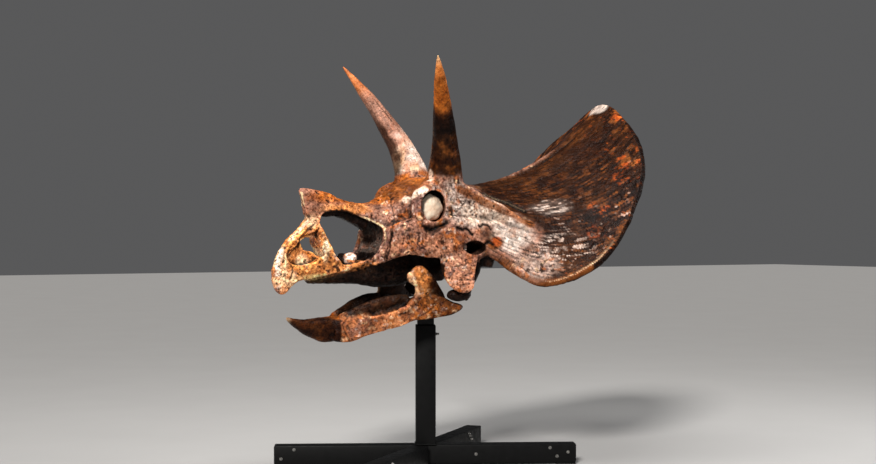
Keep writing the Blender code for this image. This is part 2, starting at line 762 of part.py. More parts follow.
def jaw_rod(side, radius, grow=0.0):
    """The round rod from the post to the inside of one jaw branch."""
    bm = bmesh.new()
    x_low, x_high = 0.010, JAW_ROD_END + grow
    bmesh.ops.create_cone(bm, cap_ends=True, segments=16, radius1=radius + grow, radius2=radius + grow,
                          depth=x_high - x_low)
    bmesh.ops.rotate(bm, cent=(0, 0, 0), matrix=Matrix.Rotation(math.pi / 2, 3, "Y"), verts=bm.verts[:])
    bmesh.ops.translate(bm, vec=(side * (x_low + x_high) / 2, JAW_ROD_Y, JAW_ROD_Z), verts=bm.verts[:])
    return mesh_of(bm, "jaw rod")


def stand_parts():
    parts = {}
    clear = BEAM_WIDTH / 2 / math.sin(math.radians(CROSS_TURN - BEAM_TURN))
    square = BEAM_WIDTH / 2 / math.tan(math.radians(CROSS_TURN - BEAM_TURN))
    start = clear + square + 0.004
    parts["stand_beam_long"] = arm(-BEAM_HALF, BEAM_HALF, BEAM_TURN)
    parts["stand_beam_far"] = arm(start, BEAM_HALF, CROSS_TURN)
    parts["stand_beam_near"] = arm(-BEAM_HALF, -start, CROSS_TURN)
    for tag, turn, sign in (("snout_end", BEAM_TURN, -1), ("frill_end", BEAM_TURN, 1),
                            ("near_end", CROSS_TURN, -1), ("far_end", CROSS_TURN, 1)):
        inner, outer = sorted((sign * (BEAM_HALF - PAD_LENGTH), sign * BEAM_HALF))
        parts["stand_pad_" + tag] = arm(inner, outer, turn, 0.0, PAD_HEIGHT)
    parts["stand_pad_middle"] = arm(-PAD_LENGTH / 2, PAD_LENGTH / 2, BEAM_TURN, 0.0, PAD_HEIGHT)
    parts["stand_post"] = upright("post", POST_WIDTH / 2, BEAM_TOP + SEAT_GAP, POST_TOP)
    parts["stand_inner_post"] = upright("inner post", INNER_WIDTH / 2, POST_TOP + SEAT_GAP, INNER_TOP)
    for tag, side in SIDES:
        rod = combined("rod", jaw_rod(side, JAW_ROD_RADIUS), upright(
            "post room", INNER_WIDTH / 2, POST_TOP, INNER_TOP, grow=SEAT_GAP), "DIFFERENCE")
        parts["stand_jaw_rod_" + tag] = largest_body(rod)
    parts["stand_clamp_bolt"] = clamp_bolt()
    return parts


def clamp_bolt():
    """A bolt with a round head on the frill side of the post."""
    bm = bmesh.new()
    length, radius = 0.022, 0.010
    bmesh.ops.create_cone(bm, cap_ends=True, segments=12, radius1=radius, radius2=radius, depth=length)
    bmesh.ops.rotate(bm, cent=(0, 0, 0), matrix=Matrix.Rotation(math.pi / 2, 3, "Y"), verts=bm.verts[:])
    bmesh.ops.translate(bm, vec=(POST_WIDTH / 2 + SEAT_GAP + length / 2, 0, 0.780), verts=bm.verts[:])
    bmesh.ops.rotate(bm, cent=(0, 0, 0), matrix=Matrix.Rotation(math.radians(BEAM_TURN), 3, "Z"),
                     verts=bm.verts[:])
    return mesh_of(bm, "clamp bolt")


def cranium_seats():
    """What is cut from the cranium for the post's end and for the plaster discs."""
    seats = [upright("post socket", INNER_WIDTH / 2, 0.9, INNER_TOP, grow=SEAT_GAP)]
    for _, side in SIDES:
        seats.append(orbit_disc("seat", side, ORBIT_FILL_SEAT, ORBIT_FLOOR + ORBIT_FILL_THICKNESS,
                                ORBIT_FILL_SIZE[0] + SEAT_GAP, ORBIT_FILL_SIZE[1] + SEAT_GAP))
    return seats


def jaw_seats():
    return [jaw_rod(side, JAW_ROD_RADIUS, SEAT_GAP) for _, side in SIDES]


# ==== materials ======================================================================================
def material(name, colour, roughness, metallic=0.0):
    mat = bpy.data.materials.new(name)
    mat.use_nodes = True
    shader = mat.node_tree.nodes["Principled BSDF"]
    shader.inputs["Base Color"].default_value = (*colour, 1.0)
    shader.inputs["Roughness"].default_value = roughness
    shader.inputs["Metallic"].default_value = metallic
    mat.diffuse_color = (*colour, 1.0)
    return mat


def finish_for(name):
    """Each node's own material, by what it is."""
    if name.startswith("stand_"):
        return material(name, (0.012, 0.012, 0.013), 0.45, 0.6)
    if name.startswith("orbit_fill"):
        return material(name, (0.72, 0.62, 0.45), 0.6)
    for start, colour in BONE_COLOURS:
        if name.startswith(start):
            return material(name, colour, 0.35)
    return material(name, BONE_COLOUR, 0.35)


def main():
    clear_scene()
    parts = new_collection("triceratops_skull")
    knobs = [ball("knob", (side * KNOB[0], KNOB[1], KNOB[2]), KNOB_SIZE) for _, side in SIDES]
    cranium = fused("cranium", cranium_forms(), VOXEL, CRANIUM_TRIANGLES, cranium_cutters(), cranium_seats(), knobs)
    mandible = fused("mandible", mandible_forms(), VOXEL, MANDIBLE_TRIANGLES, [], jaw_seats())
    nodes = part_cranium(cranium)
    nodes.update(part_mandible(mandible))
    for tag, side in SIDES:
        back = ORBIT_FILL_SEAT + SEAT_GAP
        nodes["orbit_fill_" + tag] = orbit_disc(
            "fill", side, back, back + ORBIT_FILL_THICKNESS, *ORBIT_FILL_SIZE)
    nodes.update(stand_parts())
    for name, mesh in nodes.items():
        obj = add_object(name, mesh, parts)
        mesh.name = name
        mesh.materials.clear()
        mesh.materials.append(finish_for(name))


main()
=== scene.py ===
"""Looks of the mounted Triceratops skull: its bones, plaster discs, steel stand and studio.

Metres, +Z up, snout towards -Y, the animal's left at +X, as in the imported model.
"""
import math

import bmesh
import bpy
import numpy as np
from mathutils import Matrix, Vector
from mathutils.kdtree import KDTree


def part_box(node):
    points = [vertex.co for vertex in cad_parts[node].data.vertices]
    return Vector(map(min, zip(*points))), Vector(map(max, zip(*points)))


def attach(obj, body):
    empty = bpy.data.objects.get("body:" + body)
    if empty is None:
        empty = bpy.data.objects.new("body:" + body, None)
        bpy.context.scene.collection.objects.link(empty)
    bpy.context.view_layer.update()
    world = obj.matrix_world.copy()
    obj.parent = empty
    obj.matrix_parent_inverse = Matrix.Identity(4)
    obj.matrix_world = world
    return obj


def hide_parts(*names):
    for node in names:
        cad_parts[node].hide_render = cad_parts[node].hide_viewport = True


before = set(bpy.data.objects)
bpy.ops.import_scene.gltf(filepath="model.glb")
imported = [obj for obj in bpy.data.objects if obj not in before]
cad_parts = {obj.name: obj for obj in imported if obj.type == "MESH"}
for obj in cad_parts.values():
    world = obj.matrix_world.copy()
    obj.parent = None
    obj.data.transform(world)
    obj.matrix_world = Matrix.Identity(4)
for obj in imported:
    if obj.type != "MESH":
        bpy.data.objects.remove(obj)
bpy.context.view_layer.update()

SIDES = (("left", 1), ("right", -1))


def mm(*rows):
    """Rows of millimetres, as rows of metres."""
    return tuple(tuple(value / 1000 for value in row) for row in rows)


# --- grain of the bone meshes
COARSE_VOXEL = 0.008  # first fuse of the forms
FINE_VOXEL = 0.005  # mesh that carries the carved detail
JAW_VOXEL = 0.004
COARSE_ROUNDS = 6  # smoothing after the first fuse
FINE_ROUNDS = 3  # smoothing after the fine one
RING = 32  # points round a lofted section
ROW_STEPS = 4  # smooth steps between two rows of a table
SIDE_POWER = 2.6  # how square the sections are: 2 is an ellipse

# --- cranium: rows are (y, z low, z high, half width low, half width high)
SNOUT = mm(
    (-997, 1110, 1170, 10, 8), (-980, 1070, 1235, 28, 18), (-955, 1040, 1285, 40, 24),
    (-925, 1035, 1330, 50, 30), (-890, 1070, 1365, 62, 36), (-840, 1108, 1405, 75, 42),
    (-780, 1120, 1480, 85, 50), (-700, 1125, 1550, 95, 65), (-620, 1135, 1570, 100, 80))
NASAL_ROOF = mm(
    (-829, 1632, 1641, 6, 4), (-815, 1575, 1641, 22, 12), (-800, 1530, 1641, 34, 16),
    (-785, 1480, 1640, 45, 20), (-740, 1460, 1636, 60, 30), (-660, 1470, 1622, 80, 45),
    (-570, 1490, 1580, 95, 60), (-480, 1470, 1560, 110, 75), (-380, 1420, 1565, 130, 90),
    (-300, 1380, 1605, 155, 110), (-220, 1350, 1665, 180, 130))
FACE = mm(
    (-700, 1130, 1400, 85, 70), (-600, 1135, 1480, 100, 90), (-500, 1150, 1500, 115, 100),
    (-420, 1175, 1520, 130, 115), (-330, 1215, 1560, 170, 140), (-240, 1255, 1630, 210, 170),
    (-140, 1250, 1690, 240, 200), (-40, 1245, 1720, 260, 210), (60, 1245, 1710, 265, 210),
    (140, 1260, 1675, 250, 190), (220, 1280, 1650, 190, 150), (300, 1320, 1620, 120, 110))
PALATE = mm(
    (-780, 1095, 1200, 35, 50), (-650, 1090, 1220, 50, 70), (-500, 1088, 1250, 60, 90),
    (-400, 1075, 1280, 75, 110), (-300, 1065, 1320, 90, 125), (-180, 1080, 1340, 95, 130),
    (-80, 1130, 1360, 95, 130), (50, 1180, 1380, 90, 120), (200, 1240, 1400, 70, 100))

# --- paired forms: rows are (y, x middle, z low, z high, half thickness)
CHEEK = mm(
    (-420, 125, 1185, 1360, 28), (-340, 170, 1228, 1420, 42), (-240, 215, 1258, 1460, 52),
    (-140, 250, 1242, 1480, 58), (-50, 280, 1236, 1480, 58), (50, 305, 1215, 1480, 56),
    (140, 325, 1225, 1470, 50), (240, 350, 1245, 1460, 44), (320, 375, 1240, 1440, 34))
TEMPLE = mm(
    (0, 245, 1350, 1670, 50), (100, 275, 1280, 1670, 50), (200, 305, 1260, 1605, 45),
    (300, 340, 1250, 1560, 40), (380, 380, 1220, 1500, 34))
RAMUS = mm(
    (-640, 55, 760, 895, 34), (-540, 85, 758, 905, 36), (-440, 118, 800, 910, 36),
    (-340, 150, 826, 922, 37), (-260, 178, 848, 955, 37), (-190, 205, 874, 1020, 36),
    (-90, 235, 884, 1030, 34), (-30, 255, 897, 1015, 34), (20, 271, 906, 986, 36), (58, 281, 926, 975, 34),
    (82, 286, 944, 966, 20))
TOOTH_ROW = mm(
    (-600, 52, 860, 920, 18), (-520, 82, 860, 955, 22), (-440, 110, 870, 992, 24),
    (-340, 142, 880, 1022, 24), (-220, 175, 920, 1030, 22))
PREDENTARY = mm(
    (-912, 896, 910, 6, 8), (-890, 872, 904, 15, 22), (-860, 848, 896, 22, 40), (-800, 806, 890, 30, 58),
    (-740, 776, 893, 35, 72), (-680, 755, 900, 40, 82), (-600, 757, 902, 45, 90), (-540, 765, 870, 30, 60))

# --- hanging plates: rows are (z, y front, y rear, x middle, half thickness)
JUGAL = mm(
    (1360, -20, 150, 296, 46), (1290, -50, 155, 312, 48), (1230, -68, 140, 330, 48),
    (1180, -70, 118, 346, 46), (1140, -68, 104, 362, 44), (1090, -46, 94, 380, 40),
    (1056, -16, 76, 394, 32), (1038, 12, 48, 399, 18))
CORONOID = mm(
    (930, -300, -20, 212, 30), (1000, -222, 8, 217, 28), (1030, -196, -2, 219, 27),
    (1060, -193, -24, 221, 27), (1084, -212, -40, 222, 27), (1100, -246, -52, 224, 28),
    (1130, -252, -74, 226, 30), (1155, -238, -100, 226, 29), (1180, -210, -130, 227, 24),
    (1197, -188, -155, 227, 14))

# --- bars: points are (x, y, z, radius)
BROW_HORN = mm(
    (175, 25, 1620, 130), (195, 18, 1700, 112), (217, 10, 1780, 96), (275, -25, 1920, 76),
    (340, -75, 2040, 63), (412, -127, 2160, 49), (490, -185, 2280, 31))
HORN_TIPS = {"left": (0.560, -0.238, 2.382, 0.007), "right": (0.590, -0.262, 2.425, 0.007)}
SQUAMOSAL_BAR = mm(
    (215, 50, 1640, 70), (265, 150, 1590, 56), (320, 290, 1505, 52), (390, 430, 1420, 44),
    (480, 580, 1330, 28))
QUADRATE = mm(
    (292, 165, 1330, 56), (290, 148, 1190, 56), (300, 98, 1090, 52), (300, 62, 1004, 50))
PTERYGOID_WING = mm(
    (1300, -160, 100, 105, 34), (1200, -130, 85, 115, 30), (1130, -80, 60, 125, 24),
    (1100, -40, 40, 130, 14))
PTERYGOID = mm(
    (80, 80, 1260, 50), (180, 100, 1220, 30), (280, 100, 1170, 34))
PAROCCIPITAL = mm(
    (60, 260, 1430, 60), (180, 290, 1400, 46), (330, 270, 1360, 50))
CONDYLE = mm(
    (0, 240, 1370, 70), (0, 350, 1350, 48), (0, 395, 1345, 50), (0, 430, 1342, 30))
ORBIT_RIM = (0.235, -0.080, 1.545)
ORBIT_RIM_SIZE = (0.075, 0.150, 0.150)
BRAINCASE = (0.0, 0.190, 1.460)
BRAINCASE_SIZE = (0.170, 0.180, 0.170)

# --- frill sheet: left half of its root line and its free margin
FRILL_ROOT = mm(
    (0, 180, 1665), (120, 170, 1640), (230, 140, 1600), (280, 120, 1520), (305, 120, 1420),
    (325, 150, 1345), (365, 215, 1288))
FRILL_MARGIN = mm(
    (0, 1315, 2198), (270, 1288, 2078), (500, 1220, 1925), (655, 1132, 1750), (720, 1022, 1560),
    (745, 908, 1380), (735, 770, 1225), (690, 590, 1122), (600, 430, 1092), (492, 305, 1185))
FRILL_THICKNESS = 0.042
FRILL_SAG = (0.170, 0.210, 0.160, 0.060, 0.000)  # dip below straight root-to-margin lines, from the midline
FRILL_ACROSS = 216  # steps along the margin
FRILL_ALONG = 42  # steps from the root to the margin
FRILL_GRID = (240, 60)  # steps of the places that the surface's points are matched with
FRILL_FRONT = 0.16  # nothing in front of this y is on the sheet

# --- openings: outlines are (y, z)
NARIS = mm(
    (-730, 1440), (-700, 1495), (-625, 1509), (-540, 1499), (-440, 1460), (-375, 1422), (-358, 1375),
    (-370, 1320), (-402, 1262), (-452, 1223), (-535, 1203), (-592, 1206), (-640, 1262), (-684, 1345))
NOSTRIL_HOLE = mm(
    (-838, 1335), (-800, 1362), (-750, 1352), (-720, 1305), (-704, 1262), (-728, 1248), (-757, 1276),
    (-812, 1288))
SNOUT_FOSSA = mm(
    (-712, 1440), (-760, 1400), (-835, 1370), (-865, 1320), (-922, 1255), (-905, 1200), (-830, 1190),
    (-750, 1215), (-722, 1270), (-726, 1380))
FOSSA_FLOOR = 0.026  # half thickness of the plate left between the two fossae
ORBIT_HOLE = (0.280, -0.104, 1.540)
ORBIT_SLANT = -0.45  # forward shift of the socket for each metre outwards
ORBIT_HOLE_SIZE = (0.080, 0.092)  # half width, half height
ORBIT_FLOOR = 0.190  # how far from the midline the socket's floor lies
ORBIT_REACH = 0.45  # how far out the cutters of the orbit, naris and nostril go
NARIS_REACH = 0.4
NOSTRIL_REACH = 0.3
ORBIT_FILL_SEAT = 0.178  # how far from the midline the plaster disc's back lies
CHEEK_WINDOW = (0.345, 0.122, 1.298)
CHEEK_WINDOW_SIZE = (0.110, 0.066, 0.040)
ADDUCTOR_ROOM = (0.200, -0.120, 1.190)  # hollow above the coronoid process
ADDUCTOR_ROOM_SIZE = (0.058, 0.190, 0.100)

# --- hollows that only the fine surface has: (x, y, z), (radii); x is mirrored
SCOOPS = (
    ((0.050, -0.372, 1.372), (0.090, 0.050, 0.078)),     # nasal room behind the naris rim
    ((0.050, -0.430, 1.256), (0.060, 0.040, 0.034)),     # pit behind the knob
)
KNOB = (0.054, -0.529, 1.230)  # lump of bone on the naris floor
KNOB_SIZE = (0.034, 0.040, 0.038)
JAW_JOINT = (0.310, 0.050, 1.024)  # swollen lower end of the quadrate
JAW_JOINT_SIZE = (0.040, 0.078, 0.036)
# the keel is a plate painted black, standing in for the shade under the nasal bridge
NASAL_KEEL = mm(  # hangs from the nasal bridge into the naris
    (-700, 1478, 1520, 18, 28), (-663, 1477, 1530, 24, 36), (-580, 1474, 1530, 30, 42),
    (-525, 1450, 1510, 34, 50), (-469, 1424, 1490, 38, 60), (-420, 1395, 1480, 44, 70))
REAR_PROCESS = mm(
    (320, 240, 1330, 46), (322, 240, 1250, 42), (322, 238, 1184, 30))
CREST = mm(
    (0, 260, 1618, 40), (0, 600, 1704, 40), (0, 950, 1881, 34), (0, 1260, 2116, 28))
JUGAL_SLANT = 0.28  # how far the jugal turns outwards for each metre backwards
MARGIN_RADIUS = 0.023  # thickened free edge of the frill
MARGIN_INSET = 0.016
MARGIN_STEPS = 48
HORN_REACH = 0.16  # what is painted as horn lies nearer than this to its axis

# --- carved lines on the left side, mirrored: (depth, half width, darkness, points); depth < 0 is a ridge; darkness is painted shade in the groove
CARVED = (
    (0.026, 0.02, 1.0, mm((296, -158, 1412), (306, -130, 1409), (318, -90, 1424), (325, -40, 1446))),
    (0.005, 0.007, 0.8, mm((199, -345, 1415), (201, -335, 1367), (199, -350, 1333), (195, -345, 1298),
        (190, -365, 1240))),
    (0.003, 0.005, 0.35, mm((80, -285, 1600), (134, -299, 1529), (160, -300, 1448), (205, -340, 1367),
        (195, -368, 1275), (164, -375, 1200))),
    (0.002, 0.005, 0.2, mm((230, -220, 1470), (235, -262, 1400), (232, -280, 1320), (215, -300, 1240))),
    (0.009, 0.011, 0.95, mm((350, 18, 1413), (351, 45, 1402), (355, 76, 1407), (366, 103, 1378))),
    (0.007, 0.009, 0.85, mm((369, 156, 1425), (372, 195, 1437), (384, 222, 1408))),
    (0.009, 0.01, 0.9, mm((362, 185, 1318), (384, 205, 1332), (396, 230, 1318))),
    (0.002, 0.005, 0.25, mm((377, -70, 1222), (390, -46, 1201), (396, 4, 1197), (400, 60, 1215))),
    (0.002, 0.005, 0.2, mm((385, -60, 1092), (410, 0, 1084), (410, 60, 1092))),
    (0.003, 0.006, 0.3, mm((330, -60, 1470), (345, 10, 1500), (340, 75, 1560), (300, 110, 1640))),
    (0.003, 0.005, 0.3, mm((340, 20, 1500), (352, 30, 1440), (357, 47, 1396))),
    (-0.006, 0.026, 0.0, mm((306, 99, 1640), (332, 179, 1585), (366, 295, 1540), (403, 376, 1480),
        (457, 446, 1395), (523, 472, 1300))),
    (0.02, 0.019, 1.0, mm((110, 255, 1645), (160, 313, 1618), (195, 347, 1602), (226, 384, 1584),
        (257, 421, 1564), (300, 450, 1545), (340, 480, 1520))),
    (-0.026, 0.007, 0.0, mm((160, 313, 1618), (195, 347, 1602), (226, 384, 1584), (257, 421, 1564),
        (300, 450, 1545), (340, 480, 1520))),
    (-0.012, 0.013, 0.0, mm((70, -725, 1400), (80, -697, 1333), (85, -674, 1276), (90, -643, 1210))),
    (-0.01, 0.013, 0.0, mm((45, -880, 1110), (50, -800, 1128), (60, -721, 1142), (80, -607, 1172),
        (90, -535, 1186), (110, -460, 1220), (148, -410, 1262), (160, -362, 1330), (155, -345, 1395))),
    (0.005, 0.006, 0.6, mm((40, -905, 1130), (52, -893, 1180), (48, -912, 1240), (40, -880, 1300))),
    (-0.008, 0.01, 0.0, mm((40, -935, 1200), (36, -925, 1270), (34, -880, 1340), (40, -820, 1392))),
)
# lines of the lower jaw, as above; their darkness is painted shade in the groove
JAW_CARVED = (
    (-0.013, 0.014, 0.0, mm((236, -238, 1140), (240, -200, 1090), (236, -187, 1044), (230, -199, 1008),
        (232, -219, 977), (230, -258, 952), (212, -284, 937), (183, -330, 920), (166, -376, 908),
        (140, -440, 890))),
    (0.01, 0.02, 0.3, mm((205, -262, 985), (185, -310, 962), (160, -370, 945), (130, -440, 928))),
    (0.003, 0.006, 0.4, mm((66, -575, 915), (92, -568, 897), (100, -599, 863), (106, -589, 818),
        (100, -555, 765))),
    (0.002, 0.006, 0.2, mm((262, -115, 1020), (270, -90, 975), (262, -120, 935), (240, -180, 900))),
    (-0.006, 0.01, 0.0, mm((105, -540, 790), (140, -420, 818), (175, -320, 845), (215, -210, 885))),
)

# --- lines in (y, z) where the painted shade begins, read from the side
PALATE_LINE = ((-0.86, 1.10), (-0.5, 1.17), (-0.25, 1.26), (0.3, 1.30))  # below this the palate is dark
SHADE_LINE = mm(  # below this the upper jaw is dark
    (-880, 1076), (-799, 1088), (-735, 1096), (-660, 1107), (-613, 1127), (-569, 1140), (-520, 1146),
    (-470, 1172), (-392, 1196), (-304, 1218), (-221, 1246), (-170, 1244), (-85, 1238), (-60, 1200),
    (-50, 1100), (-20, 1000))
# --- palette, linear
GOLD = (0.58, 0.24, 0.075)
# amber: painted light on the snout's low side
PAINTED_LIGHT_AMBER = (0.95, 0.56, 0.26)
CREAM = (0.92, 0.68, 0.44)
# white: painted highlights in the streaks, pale bone with painted sheen in the squamosal zone
WHITE = (0.90, 0.78, 0.68)
ORANGE = (0.42, 0.125, 0.018)
BURNT = (0.155, 0.050, 0.011)
RUST = (0.36, 0.070, 0.010)
PINK_TAN = (0.41, 0.195, 0.120)
VIOLET = (0.125, 0.070, 0.066)
GREY_BROWN = (0.27, 0.140, 0.102)
CHALK = (0.56, 0.50, 0.47)
UMBER = (0.016, 0.0048, 0.0018)
OCHRE = (0.052, 0.018, 0.005)
# near black: painted shade in the openings, the mouth and on the frill's outer edge, and the left horn's own
# dark band
SHADE_AND_HORN_BLACK = (0.0030, 0.0016, 0.0014)
JAW_BROWN = (0.28, 0.088, 0.020)
# dark grey painted as shade on the nasal room's rear wall
SHADED_WALL_GREY = (0.075, 0.066, 0.062)
KNOB_WHITE = (0.86, 0.77, 0.71)

# --- painted streaks on the left side, mirrored: (colour, half width, strength, (x, y, z) places)
STREAKS = (
    # painted shade: the dark crease under the orbit
    (UMBER, 0.012, 0.95, mm((298, -158, 1402), (308, -130, 1398), (320, -90, 1411), (327, -50, 1432))),
    # painted highlight: the lit rear rim of the naris
    (CREAM, 0.006, 0.9, mm((84, -482, 1479), (110, -412, 1449), (150, -362, 1420), (167, -366, 1382),
        (173, -373, 1338), (150, -379, 1303))),
    (BURNT, 0.024, 0.9, mm((300, 60, 1640), (331, 138, 1597), (357, 232, 1552), (396, 346, 1506),
        (434, 462, 1440))),
    # painted highlight: the lit lip along the slit
    (CREAM, 0.005, 1.0, mm((160, 313, 1618), (195, 347, 1602), (226, 384, 1584), (257, 421, 1564),
        (300, 450, 1545), (340, 480, 1520))),
    # painted highlights on the brow and the horn's foot, left side only
    (WHITE, 0.02, 0.9, mm((170, -223, 1578), (225, -217, 1598), (260, -197, 1621), (278, -161, 1638))),
    (WHITE, 0.016, 0.7, mm((210, -90, 1740), (225, -100, 1715), (242, -110, 1690))),
    (BURNT, 0.02, 0.6, mm((462, 269, 1216), (534, 326, 1141), (612, 412, 1100), (683, 538, 1115),
        (732, 680, 1180))),
    # painted shade along the edges of the snout's fossa
    (UMBER, 0.008, 0.9, mm((56, -755, 1436), (46, -800, 1401), (37, -834, 1362), (26, -847, 1310))),
    (UMBER, 0.007, 0.8, mm((37, -908, 1288), (38, -921, 1260), (45, -930, 1226))),
    (CREAM, 0.006, 0.8, mm((16, -833, 1620), (16, -824, 1575), (16, -814, 1540))),
    # painted highlights on the beak's front and the snout, left side only
    (WHITE, 0.012, 0.8, mm((30, -950, 1300), (35, -975, 1220), (35, -975, 1150))),
    (WHITE, 0.01, 0.6, mm((40, -900, 1370), (40, -850, 1420), (45, -800, 1455))),
)
SPOT_RADIUS = 0.044
FRILL_SPOTS = mm(
    (463, 1106, 1841), (530, 1085, 1795), (545, 1021, 1721), (596, 1028, 1701), (548, 834, 1551),
    (607, 865, 1526), (544, 1180, 1894), (608, 1139, 1817), (644, 772, 1390), (210, 1258, 2107))

JAW_SHADE_LINE = mm(  # above this the lower jaw is dark, in front of the coronoid process
    (-560, 905), (-440, 925), (-376, 938), (-330, 950), (-284, 965), (-258, 985), (-235, 1010),
    (-222, 1050))

# --- colour zones of the cranium: (colour, (x, y, z), (radii), strength); x is mirrored
ZONES = (
    (GOLD, (0.0, -0.85, 1.25), (0.3, 0.3, 0.3), 1.0),
    (CREAM, (0.04, -0.965, 1.2), (0.12, 0.055, 0.18), 0.6),
    (CREAM, (0.04, -0.91, 1.12), (0.12, 0.06, 0.06), 0.6),
    (CREAM, (0.06, -0.7, 1.28), (0.08, 0.022, 0.09), 0.9),
    (CREAM, (0.02, -0.82, 1.226), (0.06, 0.05, 0.05), 0.9),
    (CREAM, (0.0, -0.77, 1.45), (0.1, 0.045, 0.06), 0.7),
    (ORANGE, (0.0, -0.45, 1.6), (0.25, 0.36, 0.075), 1.0),
    (GOLD, (0.0, -0.54, 1.52), (0.2, 0.22, 0.044), 0.9), (GOLD, (0.0, -0.5, 1.19), (0.3, 0.3, 0.05), 0.9),
    # painted light: the amber zone brightens the snout's low, downward-facing side below the ridge
    (PAINTED_LIGHT_AMBER, (0.06, -0.76, 1.125), (0.12, 0.14, 0.034), 1.0),
    (ORANGE, (0.06, -0.17, 1.69), (0.26, 0.19, 0.13), 1.0),
    (BURNT, (0.08, -0.22, 1.65), (0.26, 0.17, 0.11), 0.9),
    (GREY_BROWN, (0.2, -0.24, 1.42), (0.22, 0.14, 0.16), 0.9),
    (PINK_TAN, (0.32, -0.11, 1.3), (0.18, 0.2, 0.09), 0.9),
    (PINK_TAN, (0.25, -0.25, 1.3), (0.12, 0.13, 0.07), 0.9),
    (PINK_TAN, (0.38, 0.02, 1.13), (0.16, 0.14, 0.13), 0.8),
    (CHALK, (0.3, 0.02, 1.64), (0.1, 0.08, 0.08), 0.7),
    (GREY_BROWN, (0.34, 0.04, 1.43), (0.14, 0.12, 0.07), 0.8),
    # the chalk and white zones on the squamosal are pale bone with a painted sheen
    (CHALK, (0.36, 0.15, 1.51), (0.17, 0.22, 0.11), 1.0),
    (CHALK, (0.43, 0.33, 1.38), (0.15, 0.15, 0.14), 1.0),
    (CHALK, (0.57, 0.47, 1.19), (0.2, 0.24, 0.15), 0.5), (WHITE, (0.37, 0.2, 1.5), (0.13, 0.2, 0.085), 0.7),
    (BURNT, (0.4, 0.245, 1.325), (0.06, 0.07, 0.05), 1.0),
    (RUST, (0.4, 0.25, 1.335), (0.05, 0.04, 0.034), 0.8),
)

# --- stains: (colour, size, seed, low, high, strength)
MARBLING = (
    (VIOLET, 0.046, 101, 0.12, 0.45, 0.8), (ORANGE, 0.038, 105, 0.18, 0.5, 0.75),
    (CREAM, 0.03, 109, 0.28, 0.6, 0.55), (CHALK, 0.022, 113, 0.3, 0.6, 0.6),
    (UMBER, 0.026, 117, 0.26, 0.5, 0.9),
)
JAW_SPECKLE = 0.8

# --- shading of the openings
SPUR_REACH = (0.075, 0.080, 0.100)  # dark space round the process behind the quadrate
SOCKET_SHADE = (0.086, 0.098)  # half width, half height of the dark in the orbit

# --- plaster disc: its rings as shares of its size, those over 1 on its back
DISC_RINGS = (0.02, 0.12, 0.24, 0.36, 0.48, 0.60, 0.70, 0.80, 0.88, 0.94, 0.98, 1.0, 1.001, 1.4, 1.9)
DISC_STEPS = 72
DISC_FACE = 0.262  # how far from the midline its face lies
DISC_DOME = 0.030
DISC_SIZE = (0.068, 0.078)  # half width, half height


# ==== mesh helpers ====
def add_object(name, mesh):
    obj = bpy.data.objects.new(name, mesh)
    bpy.context.scene.collection.objects.link(obj)
    return obj


def mesh_of(bm, name):
    bmesh.ops.recalc_face_normals(bm, faces=bm.faces[:])
    mesh = bpy.data.meshes.new(name)
    bm.to_mesh(mesh)
    bm.free()
    return mesh


def applied(obj):
    """The evaluated mesh of an object, which is then removed."""
    bpy.context.view_layer.update()
    mesh = bpy.data.meshes.new_from_object(obj.evaluated_get(bpy.context.evaluated_depsgraph_get()))
    bpy.data.objects.remove(obj, do_unlink=True)
    return mesh


def loft(name, rings):
    """A closed mesh through rings of equally many points."""
    bm = bmesh.new()
    rows = [[bm.verts.new(point) for point in ring] for ring in rings]
    count = len(rows[0])
    for low, high in zip(rows, rows[1:]):
        for i in range(count):
            j = (i + 1) % count
            bm.faces.new((low[i], low[j], high[j], high[i]))
    bm.faces.new(rows[0])
    bm.faces.new(rows[-1])
    return mesh_of(bm, name)


def oval(power):
    """Unit superellipse points as (across, up) pairs."""
    points = []
    for i in range(RING):
        turn = 2 * math.pi * i / RING
        c, s = math.cos(turn), math.sin(turn)
        points.append((math.copysign(abs(c) ** (2 / power), c), math.copysign(abs(s) ** (2 / power), s)))
    return points


def spline(points, steps):
    """Smooth points through the given ones (Catmull-Rom), of any dimension."""
    before = [tuple(2 * a - b for a, b in zip(points[0], points[1]))]
    after = [tuple(2 * a - b for a, b in zip(points[-1], points[-2]))]
    row = before + [tuple(p) for p in points] + after
    result = []
    for i in range(1, len(row) - 2):
        for step in range(steps):
            t = step / steps
            result.append(tuple(
                0.5 * (2 * b + (c - a) * t + (2 * a - 5 * b + 4 * c - d) * t ** 2
                       + (3 * b - a - 3 * c + d) * t ** 3)
                for a, b, c, d in zip(row[i - 1], row[i], row[i + 1], row[i + 2])))
    result.append(tuple(points[-1]))
    return result


def spline_at(fine, share):
    """The point at a share from 0 to 1 along a line of fine points."""
    place = share * (len(fine) - 1)
    low = min(int(place), len(fine) - 2)
    return Vector(fine[low]).lerp(Vector(fine[low + 1]), place - low)


def midline_loft(name, rows, power=SIDE_POWER):
    rings = []
    for y, z_low, z_high, half_low, half_high in spline(rows, ROW_STEPS):
        middle, half_height = (z_low + z_high) / 2, (z_high - z_low) / 2
        ring = []
        for across, up in oval(power):
            half = half_low + (half_high - half_low) * (up + 1) / 2
            ring.append((across * half, y, middle + up * half_height))
        rings.append(ring)
    return loft(name, rings)


def side_loft(name, rows, side):
    rings = []
    for y, x, z_low, z_high, half in spline(rows, ROW_STEPS):
        middle, half_height = (z_low + z_high) / 2, (z_high - z_low) / 2
        rings.append([(side * (x + across * half), y, middle + up * half_height)
                      for across, up in oval(SIDE_POWER)])
    return loft(name, rings)


